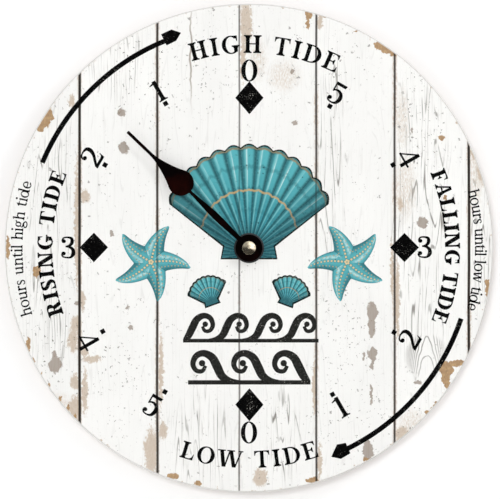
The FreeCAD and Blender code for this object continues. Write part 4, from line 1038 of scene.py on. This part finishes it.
WHITE_PAINT = tint(251, 250, 247)
GREYER_PAINT = tint(241, 240, 237)
FIBRE_GREY = tint(158, 153, 145)
RING_GREY = tint(118, 112, 105)
GAP_WEAR = tint(192, 164, 140)
WASHED_WOOD = tint(206, 188, 168)
PINK_WOOD = tint(194, 172, 148)
FINE_SPECK = tint(96, 88, 80)
COARSE_SPECK = tint(96, 87, 79)
DRIP_BROWN = tint(138, 119, 102)
CRACK_BROWN = tint(138, 120, 102)
BARE_WOOD = [(0.3, tint(188, 152, 100)), (0.55, tint(166, 128, 82)), (0.75, tint(132, 98, 60))]
GAP_DARK = tint(12, 9, 7)
GAP_BROWN = tint(58, 46, 36)
# A grey line painted just inside the rim: painted shade, standing in for the board's edge turning from the
# light
RIM_SHADE_GREY = tint(224, 222, 219)
EDGE_GREY = tint(232, 230, 226)
EDGE_WHITE = tint(245, 244, 241)
HARDBOARD = [(0.32, tint(112, 80, 54)), (0.5, tint(144, 108, 76)), (0.68, tint(170, 132, 98))]


def nearest_patch(place, patches):
    """The distance to the nearest of some oval patches, where 1 is on its edge."""
    reaches = []
    for across, down, half_width, half_height in patches:
        offset = place.vector("SUBTRACT", (across, down, 0.0))
        reaches.append(offset.vector("MULTIPLY", (1 / half_width, 1 / half_height, 0.0)).length())
    return reduce(Shade.least, reaches)


def gap_lines(places):
    """How much each point lies in a printed gap."""
    sway = (dial_noise(places, 0.02, 0.012, detail=1.0) - 0.5) * GAP_SWAY
    return reduce(Shade.most, [
        (places[0] + sway - gap).size().smooth(half + GAP_SOFT, half - GAP_SOFT) * darkness
        for gap, half, darkness in PLANK_GAPS])


def near_gap(places):
    """How near each point is to a gap, 1 at the gap and 0 some pixels off, with a ragged edge."""
    ragged = dial_noise(places, 0.5, 0.2, 3.0, detail=5.0, roughness=0.75)
    patchy = dial_noise(places, 0.012, 0.014, 20.0).smooth(0.4, 0.6)
    closest, farthest = GAP_REACH
    near = reduce(Shade.most, [
        (places[0] - gap).size().smooth(farthest, closest) * darkness for gap, _, darkness in PLANK_GAPS])
    return (near * ragged * 2.0).smooth(0.62, 1.1) * (patchy * 0.85 + 0.15)


def dark_specks(places, cell, smallest, largest, layer):
    """Scattered round specks, one at most in each cell."""
    across, down = places
    place = across.point(across / cell, down / cell, layer)
    sockets = {"Vector": place, "Scale": 1.0}
    distance = across.node("ShaderNodeTexVoronoi", {"voronoi_dimensions": "3D"}, sockets)
    chance = distance.node("ShaderNodeSeparateColor", None, {0: distance.other("Color")})
    radius = chance.smooth(0.4, 1.0) * ((largest - smallest) / cell) + smallest / cell
    return (distance / radius).smooth(1.25, 0.75) * chance.over(0.4)


def nested_arches(places):
    """Thin lines of an even width, arched one inside the other."""
    across, down = places
    side = across - ARCH_TOP[0]
    wander = dial_noise(places, 0.09, 0.07, 6.0) * ARCH_WANDER - ARCH_WANDER / 2
    arches = (down - ARCH_TOP[1] + wander - side * side * ARCH_BEND) / ARCH_STEP
    steepness = side * (2 * ARCH_BEND)
    steepness = side.maths("SQRT", steepness * steepness + 1)
    off_line = ((arches + 0.5).fraction() - 0.5).size() * ARCH_STEP / steepness
    return off_line.smooth(0.8, 0.25) * arches.smooth(1.6, 1.4)


def wood_grain(places, plank):
    """Grey lines of the wood's rings, each plank with its own, and arches in one place."""
    across, down = places
    stretched = across.point(across * 0.055, down * 0.0042, plank * 3.1)
    rings = (across.noise(stretched, roughness=0.35) * 95.0).sine().smooth(0.80, 1.0)
    fade = dial_noise(places, 0.2, 0.02, 8.0, detail=3.0).smooth(0.42, 0.62)
    here = nearest_patch(across.point(across, down), [ARCH_PATCH]).smooth(1.15, 0.85)
    return (here * nested_arches(places)).most(rings * fade * (1 - here))


def specks_on_planks(places, warped):
    """Fine specks, thick in some places and thin elsewhere, and coarse ones all over."""
    clump = dial_noise(places, 0.05, 0.035, 13.0, detail=4.0, roughness=0.6).smooth(0.5, 0.6)
    clusters = (nearest_patch(warped, SPECK_PATCHES).smooth(1.3, 0.6) * 0.6 + clump * 0.6).least(0.85) + 0.08
    loose = split(warped)[:2]
    return dark_specks(loose, *FINE_SPECKS) * clusters, dark_specks(loose, *COARSE_SPECKS) * 0.6


def plank_print(places):
    """The printed planks: white paint on wood, worn through in places, with a grey line of painted shade just
    inside the rim. Gives its colour.
    """
    across, down = places
    here = across.point(across, down)
    sockets = {"Vector": here, "Scale": 0.19, "Detail": 4.0, "Roughness": 0.62}
    wander = here.node("ShaderNodeTexNoise", None, sockets, output="Color")
    offset = wander.vector("SUBTRACT", (0.5, 0.5, 0.5)).vector("MULTIPLY", (PATCH_STRAY, PATCH_STRAY, 0.0))
    warped = here.vector("ADD", offset)
    plank = reduce(Shade.__add__, [across.over(gap) for gap, _, _ in PLANK_GAPS])
    tone = plank.noise(plank.point(plank * 7.3, plank * 2.1, 0.5), detail=0.0)
    cloud = dial_noise(places, 0.02, 0.008, 6.0, detail=3.0)
    paint = (tone * 0.7 + cloud * 0.5).smooth(0.35, 0.85).blend(WHITE_PAINT, GREYER_PAINT)

    fibres = dial_noise(places, 0.85, 0.016, 2.0, detail=5.0, roughness=0.7).smooth(0.53, 0.72)
    grain = wood_grain(places, plank)
    strong = nearest_patch(warped, GRAIN_PATCHES).smooth(1.25, 0.6)
    ragged = dial_noise(places, 0.75, 0.28, 11.0, detail=5.0, roughness=0.72)
    pale = nearest_patch(warped, PALE_WEAR).smooth(1.4, 0.3) * ragged.smooth(0.36, 0.62)
    worn = (nearest_patch(warped, PINK_WEAR) + (ragged - 0.5) * 2.2).smooth(1.2, 0.8) * (ragged * 0.8 + 0.35)
    fine, coarse = specks_on_planks(places, warped)
    drips = nearest_patch(warped, DRIPS).smooth(1.12, 0.92) * (fibres * 0.2 + 0.75)
    chips = nearest_patch(warped, TAN_CHIPS).smooth(1.08, 0.95)
    bare = dial_noise(places, 0.5, 0.3, 7.0, detail=3.0).ramp(BARE_WOOD)
    drift = down.noise(down.point(down * 0.06, 4.0)) - 0.5
    crack = nearest_patch(down.point(across + drift * CRACK_STRAY, down), [CRACK]).smooth(1.5, 0.5)
    gap_colour = dial_noise(places, 0.1, 0.03, 2.5).blend(GAP_DARK, GAP_BROWN)
    out = here.vector("SUBTRACT", (*DIAL_MIDDLE, 0.0)).length()
    torn = (wander.node("ShaderNodeSeparateColor", None, {0: wander}) - 0.5) * RIM_STRAY
    rim_wear = (out + torn).smooth(RIM_LINE + 1.0, RIM_LINE + 3.5)
    rim_wear = rim_wear * out.smooth(RIM_LINE - 7.0, RIM_LINE - 3.5)
    return layered(
        paint, (fibres * (strong * 0.7 + 0.13), FIBRE_GREY), (grain * (strong * 0.75 + 0.10), RING_GREY),
        (near_gap(places) * 0.75, GAP_WEAR), (pale * 0.6, WASHED_WOOD), (worn, PINK_WOOD),
        (fine, FINE_SPECK), (coarse, COARSE_SPECK), (drips, DRIP_BROWN), (chips * 0.92, bare),
        (crack * 0.7, CRACK_BROWN), (gap_lines(places), gap_colour), (rim_wear * 0.7, bare),
        # Painted shade: a grey line just inside the rim, where the board's edge turns from the light
        (out.smooth(RIM_LINE - 0.9, RIM_LINE + 0.3), RIM_SHADE_GREY))


def board_material():
    """The dial board: printed front, white edge and brown hardboard back."""
    material, start = new_material("printed_board", 0.5, specular=0.3)
    across, down, depth = dial_pixels(start)
    front = plank_print((across, down))
    edge = start.noise(start.point(across * 0.3, down * 0.3, depth * 900.0), detail=3.0)
    places = place_of(start)
    fibre = noise_in(places, 900.0, detail=5.0, roughness=0.7)
    back = (fibre * 0.86 + noise_in(places, 60.0) * 0.14).ramp(HARDBOARD, "LINEAR")
    behind = depth.over(BOARD_BACK - BACK_SKIN)
    print_end = BOARD_FRONT + PRINT_DEPTH
    ahead = depth.smooth(print_end + PRINT_FADE, print_end - PRINT_FADE)
    colour = layered(edge.blend(EDGE_GREY, EDGE_WHITE), (behind, back), (ahead, front))
    roughness = behind * 0.3 + 0.45 + fibre * 0.08
    return with_looks(material, colour, roughness, bump=(fibre * behind, 0.12 * MM, 0.6))


def ink_material(name, deepest, deep):
    """Dark print, rubbed through in fine specks."""
    material, start = new_material(name, 0.6, specular=0.02)
    places = dial_pixels(start)[:2]
    fine = dial_noise(places, 0.75, 0.75, roughness=0.6)
    clouds = dial_noise(places, 0.09, 0.09, 4.0)
    specks = (fine + (clouds - 0.5) * 0.42).smooth(0.66, 0.74)
    grey = dial_noise(places, 0.35, 0.35, 9.0, detail=3.0).ramp([
        (0.35, deepest), (0.62, deep), (0.82, tint(62, 60, 58))], "LINEAR")
    return with_looks(material, (specks * 0.6).blend(grey, tint(190, 187, 180)))


DEEP_TEAL = tint(14, 44, 50)
SHADOW_TEAL = tint(22, 66, 74)
TEAL = tint(28, 88, 96)
RIM_TEAL = tint(36, 84, 84)
HINGE_TURQUOISE = tint(54, 140, 152)
TURQUOISE = tint(74, 164, 176)
RIM_TURQUOISE = tint(88, 178, 186)
GREENER_TURQUOISE = tint(96, 182, 188)
PALE_TURQUOISE = tint(126, 198, 202)
GLINT = tint(206, 232, 228)
OCHRE = tint(196, 164, 112)
PALE_OCHRE = tint(222, 202, 156)
GAP_ON_PAINT = tint(38, 58, 58)


def painted(places, colour):
    """Specks and blots on a painted motif, with the planks' gaps showing through."""
    blots = dial_noise(places, 0.13, 0.13, 5.0, detail=4.0, roughness=0.7).smooth(0.60, 0.70)
    brushed = dial_noise(places, 0.42, 0.42, 2.0, detail=4.0, roughness=0.65).smooth(0.5, 0.75)
    return layered(
        colour, (blots * 0.55, DEEP_TEAL), (dark_specks(places, *PAINT_SPECKS) * 0.65, DEEP_TEAL),
        (brushed * 0.22, PALE_TURQUOISE), (gap_lines(places) * 0.62, GAP_ON_PAINT))


def motif_offset(across, down, middle):
    """Places across and up from a motif's middle, the same for its mirror image where it has one."""
    if middle[0] == DIAL_MIDDLE[0]:
        return across - middle[0], middle[1] - down
    return (across - DIAL_MIDDLE[0]).size() * -1.0 + (DIAL_MIDDLE[0] - middle[0]), middle[1] - down


def shell_material(name, shell):
    """Painted ribs fanning from the hinge, with growth bands across them."""
    material, start = new_material(name + "_paint", 0.5, specular=0.25)
    across, down, _ = dial_pixels(start)
    right, up = motif_offset(across, down, shell["hinge"])
    reach = start.point(right, up).length() / shell["radius"]
    turn = start.maths("ARCTAN2", right, up) - math.radians(shell["lean"])
    share = turn / math.radians(shell["spread"])
    edge = reach / (1 - share * share * FAN_DROOP)
    streak = start.noise(start.point(share * 30.0, reach * 2.2, 1.0), detail=3.0, roughness=0.6)
    ridge = (((share + 1.0) * (shell["ribs"] / 2)).fraction() - 0.5) * 2.0
    groove = ridge.size()
    glint = (ridge + 0.30).size().smooth(0.13, 0.0) * edge.smooth(0.45, 0.80) * streak.smooth(0.42, 0.62)
    bands = (edge * 31.0 + groove * 0.9 + streak * 3.0).sine()
    seams = ((edge + groove * 0.012 + (streak - 0.5) * 0.03) * 2.55).fraction() - 0.5
    shade = (share.size() + (streak - 0.5) * 0.3).smooth(0.55, 1.05).most(reach.smooth(0.34, 0.12))
    rim = (edge + groove * 0.035 + (streak - 0.5) * 0.03).smooth(0.965, 0.985)
    colour = layered(
        (edge + (streak - 0.5) * 0.5).smooth(0.2, 0.95).blend(HINGE_TURQUOISE, RIM_TURQUOISE),
        (groove.smooth(0.35, 0.95) * 0.75, TEAL),
        ((ridge + 0.38).size().smooth(0.30, 0.05) * (streak * 1.3), PALE_TURQUOISE),
        (glint * 0.9, GLINT), (ridge.smooth(0.45, 0.95) * 0.5, DEEP_TEAL),
        (bands.smooth(0.72, 1.0) * 0.35 * edge.smooth(0.25, 0.5), TEAL),
        (seams.size().smooth(0.036, 0.012) * 0.85 * edge.smooth(0.3, 0.4), OCHRE),
        (shade * 0.62, SHADOW_TEAL), (rim * 0.55, RIM_TEAL))
    return with_looks(material, painted((across, down), colour))


def star_material():
    """A painted starfish: rounded arms with a row of pale bumps along each."""
    material, start = new_material("starfish_paint", 0.5, specular=0.25)
    across, down, _ = dial_pixels(start)
    right, up = motif_offset(across, down, STAR_MIDDLE)
    reach = start.point(right, up).length() / STAR_RADIUS
    arm = math.radians(360 / STAR_ARMS)
    curl = reach * reach * math.radians(STAR_CURL)
    turn = start.maths("ARCTAN2", right, up) - math.radians(STAR_LEAN) - curl
    off = ((turn / arm + 0.5 + STAR_ARMS).fraction() - 0.5) * arm
    side = reach * off.sine()
    along = reach * start.maths("COSINE", off)
    half = start.maths("POWER", (1.0 - along).most(0.0), 0.72) * 0.31 + 0.03
    round_arm = side / half
    grain = dial_noise((across, down), 0.3, 0.3, 3.0, detail=4.0, roughness=0.6)
    lit_side = (round_arm + 0.42).size().smooth(0.30, 0.0) * 0.75 * grain.smooth(0.35, 0.6)
    bump_along = ((along / STAR_BUMP_STEP).fraction() - 0.5) * STAR_BUMP_STEP
    bump = start.point(side, bump_along).length() / (0.018 + half * 0.045)
    side_row = (round_arm.size() - 0.55) * half
    side_along = ((along / STAR_BUMP_STEP + 0.5).fraction() - 0.5) * STAR_BUMP_STEP
    side_bump = start.point(side_row, side_along).length()
    colour = layered(
        (grain * 0.8 + 0.1).blend(TURQUOISE, GREENER_TURQUOISE),
        ((round_arm + (grain - 0.5) * 0.5).smooth(0.15, 0.95) * 0.78, TEAL),
        (lit_side, GLINT), (round_arm.smooth(-0.72, -1.0) * 0.5, TEAL),
        (bump.smooth(1.5, 0.9) * 0.7 * reach.smooth(0.97, 0.9), DEEP_TEAL),
        (bump.smooth(1.1, 0.7) * reach.smooth(0.97, 0.9), PALE_OCHRE),
        (side_bump.smooth(0.022, 0.012) * 0.8 * reach.smooth(0.9, 0.7), OCHRE))
    return with_looks(material, painted((across, down), colour))


# ---------------------------------------------------------------- finishes of the other pieces

# How fine the wire's turns and the stator's sheets are, in radians per metre, and the tracks, per metre
WIRE_TURNS = 52000.0
LAMINATIONS = 24000.0
TRACKS = 520.0
# On the cell: how much of each end is bare, how far the sleeve laps over it, and its dark band
BARE_END = 2.24 * MM
SLEEVE_LAP = 1.6 * MM
DARK_BAND = 13.5 * MM
SOFT_EDGE = 0.1 * MM


def moulded_plastic(name, colour, roughness, texture=0.0, mottle=0.12):
    """Moulded plastic, with a faint cloud in its colour and, on a case, a fine sparked texture."""
    material, start = new_material(name, roughness, specular=0.35)
    places = place_of(start)
    cloud = noise_in(places, 160.0)
    fine = noise_in(places, 2600.0, detail=2.0)
    mottled = cloud.blend(colour, toned(colour, 1 + mottle, 0.002))
    bump = (fine, texture * MM, 0.5) if texture else None
    return with_looks(material, mottled, fine * 0.16 + (roughness - 0.08), bump=bump)


def lacquer():
    """The hand's black lacquer, with a dark red-brown sheen painted into its colour in patches."""
    material, start = new_material("hand_lacquer_painted_sheen", 0.42, specular=0.02)
    places = place_of(start)
    cloud = noise_in(places, 70.0, detail=4.0)
    peel = noise_in(places, 1500.0, detail=2.0)
    # Painted sheen: dark red-brown patches in the colour stand in for reflections on the black lacquer.
    colour = cloud.smooth(0.45, 0.75).blend(tint(4, 1, 1), tint(34, 6, 3))
    return with_looks(material, colour, peel * 0.14 + 0.34, bump=(peel, 0.004 * MM, 0.5))


def turned_metal(name, colour, roughness, ring=0.12):
    """Metal turned on a lathe about the hand's axis: fine rings and a little tarnish."""
    material, start = new_material(name, roughness, metallic=1.0)
    x, y, z = places = place_of(start)
    reach = start.point(x - DIAL_X, z - DIAL_Z).length()
    rings = start.noise(start.point(reach * 9000.0, y * 5000.0, 0.0), detail=3.0, roughness=0.6)
    tarnish = noise_in(places, 420.0, detail=4.0).smooth(0.45, 0.75)
    return with_looks(
        material, tarnish.blend(colour, toned(colour, 0.62)), rings * ring + (roughness - ring / 2),
        bump=(rings, 0.004 * MM, 0.5))


def sheet_metal(name, colour, roughness, along="x"):
    """Rolled or plated sheet: fine lines along the roll, and a soft cloudiness."""
    material, start = new_material(name, roughness, metallic=1.0)
    x, y, z = places = place_of(start)
    stretch = {"x": (120.0, 2600.0), "z": (2600.0, 120.0)}[along]
    lined = start.point(x * stretch[0], y * 2600.0, z * stretch[1])
    lines = start.noise(lined, detail=4.0, roughness=0.65)
    cloud = noise_in(places, 240.0, detail=4.0)
    stain = (lines * 0.6 + cloud * 0.5).smooth(0.4, 0.75)
    return with_looks(
        material, stain.blend(colour, toned(colour, 0.72)), lines * 0.2 + cloud * 0.12 + (roughness - 0.16),
        bump=(lines, 0.006 * MM, 0.5))


def rubber():
    material, start = new_material("gasket_rubber", 0.85)
    grit = noise_in(place_of(start), 1800.0, detail=4.0, roughness=0.7)
    return with_looks(material, grit.blend(tint(18, 18, 19), tint(40, 40, 41)), bump=(grit, 0.02 * MM, 0.7))


def enamelled_wire():
    """Copper wire wound turn by turn along X, its colour paler on each turn and darker between turns: painted
    highlight and shade of the round wire.
    """
    material, start = new_material("enamelled_wire", 0.32, metallic=0.85)
    places = place_of(start)
    turns = ((places[0] * WIRE_TURNS) + noise_in(places, 300.0) * 5.0).sine() * 0.5 + 0.5
    # Painted shade and highlight: the colour runs from dark copper between the turns to bright copper on each
    # turn.
    return with_looks(
        material, turns.blend(tint(112, 48, 20), tint(206, 118, 62)), bump=(turns, 0.03 * MM, 0.8))


def stacked_laminations():
    """Thin steel sheets, stacked along Y."""
    material, start = new_material("stacked_laminations", 0.4, metallic=0.9)
    places = place_of(start)
    seams = (places[1] * LAMINATIONS).sine().smooth(0.55, 0.95)
    stain = noise_in(places, 500.0, detail=4.0)
    steel = stain.blend(tint(168, 168, 166), tint(128, 128, 130))
    return with_looks(material, (seams * 0.6).blend(steel, tint(70, 66, 62)))


def circuit_laminate():
    """Green laminate with paler copper tracks under the varnish."""
    material, start = new_material("circuit_laminate", 0.35)
    x, _, z = places = place_of(start)
    across = ((x * TRACKS).fraction() - 0.5).size()
    step = noise_in(places, 330.0, detail=0.0).smooth(0.49, 0.51)
    upright = ((z * TRACKS).fraction() - 0.5).size()
    tracks = (across * (1 - step) + upright * step).smooth(0.20, 0.15)
    weave = noise_in(places, 3000.0, detail=2.0)
    varnish = weave.blend(tint(20, 74, 46), tint(30, 92, 58))
    return with_looks(material, (tracks * 0.8).blend(varnish, tint(78, 140, 86)))


def cell_sleeve():
    """A plain cell: a grey sleeve with a darker end, over a steel can that shows at both ends."""
    material, start = new_material("cell_sleeve", 0.3)
    low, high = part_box("battery")
    middle = (low + high) / 2
    radius = (high.z - low.z) / 2
    half = (high.x - low.x) / 2
    x, y, z = place_of(start)
    along = x - middle.x
    out = start.point(y - middle.y, z - middle.z).length()
    can = out.smooth(radius - SLEEVE_LAP + SOFT_EDGE, radius - SLEEVE_LAP - SOFT_EDGE)
    steel = can * along.size().over(half - BARE_END)
    band = along.smooth(DARK_BAND + SOFT_EDGE - half, DARK_BAND - SOFT_EDGE - half)
    lines = start.noise(start.point(x * 90.0, y * 2600.0, z * 2600.0), detail=3.0)
    colour = layered(
        band.blend(tint(176, 180, 182), tint(46, 66, 84)),
        (lines.smooth(0.45, 0.7) * 0.3, tint(138, 142, 146)), (steel, tint(206, 204, 198)))
    return with_looks(material, colour, lines * 0.12 + 0.26, steel * 0.6 + 0.4)


def dress(material, *nodes):
    for node in nodes:
        piece = frame["nodes"][node]
        if not piece.material_slots:
            piece.data.materials.append(material)
        for slot in piece.material_slots:
            slot.material = material


def dress_parts():
    brass = tint(206, 172, 98)
    steel = tint(198, 198, 196)
    dress(board_material(), "dial_board")
    dress(lacquer(), "tide_hand")
    dress(turned_metal("cap_nickel", tint(240, 226, 198), 0.10, ring=0.03), "cap_nut")
    dress(turned_metal("washer_steel", tint(76, 78, 80), 0.35), "front_washer")
    dress(turned_metal("turned_steel", steel, 0.3), "mounting_nut", "tide_arbor")
    dress(turned_metal("turned_brass", brass, 0.3), "threaded_bushing", "hand_collet", "cannon_pinion")
    dress(rubber(), "rubber_gasket")
    dress(sheet_metal("zinc_plate", tint(196, 200, 204), 0.38), "hanger_plate")
    dress(moulded_plastic("case_plastic", tint(20, 20, 21), 0.55, texture=0.02), "front_plate", "rear_case")
    dress(moulded_plastic("knob_plastic", tint(13, 13, 14), 0.36), "setting_knob")
    dress(moulded_plastic("wheel_resin", tint(228, 226, 216), 0.42, mottle=0.03),
          "hour_wheel", "intermediate_wheel", "centre_wheel", "third_wheel", "fourth_wheel")
    dress(moulded_plastic("pinion_resin", tint(196, 60, 48), 0.4), "setting_arbor", "rotor_pinion")
    dress(sheet_metal("bright_steel", steel, 0.25, along="z"), "centre_arbor", "stator_screws", "coil_core")
    dress(moulded_plastic("bridge_resin", tint(112, 118, 124), 0.48), "bridge_plate")
    dress(moulded_plastic("ferrite", tint(52, 52, 56), 0.6, texture=0.02), "rotor_magnet")
    dress(stacked_laminations(), "stator")
    dress(moulded_plastic("bobbin_resin", tint(38, 104, 80), 0.4), "coil_bobbin")
    dress(enamelled_wire(), "coil_winding")
    dress(circuit_laminate(), "circuit_board")
    dress(moulded_plastic("chip_epoxy", tint(12, 12, 14), 0.7, texture=0.03), "clock_chip")
    dress(sheet_metal("crystal_can", tint(212, 212, 214), 0.22), "quartz_crystal")
    dress(sheet_metal("contact_nickel", tint(206, 202, 190), 0.28, along="z"),
          "positive_contact", "negative_contact")
    dress(cell_sleeve(), "battery")


set_camera()
make_stage()
make_lights()
make_world()
bpy.context.scene.view_settings.view_transform = "Standard"

dress_parts()
print_dial(ink_material("black_ink", tint(3, 3, 3), tint(10, 10, 10)))
print_waves(ink_material("charcoal_ink", tint(32, 32, 30), tint(46, 46, 44)))
print_picture(ink_material("outline_ink", tint(16, 30, 32), tint(34, 44, 42)))
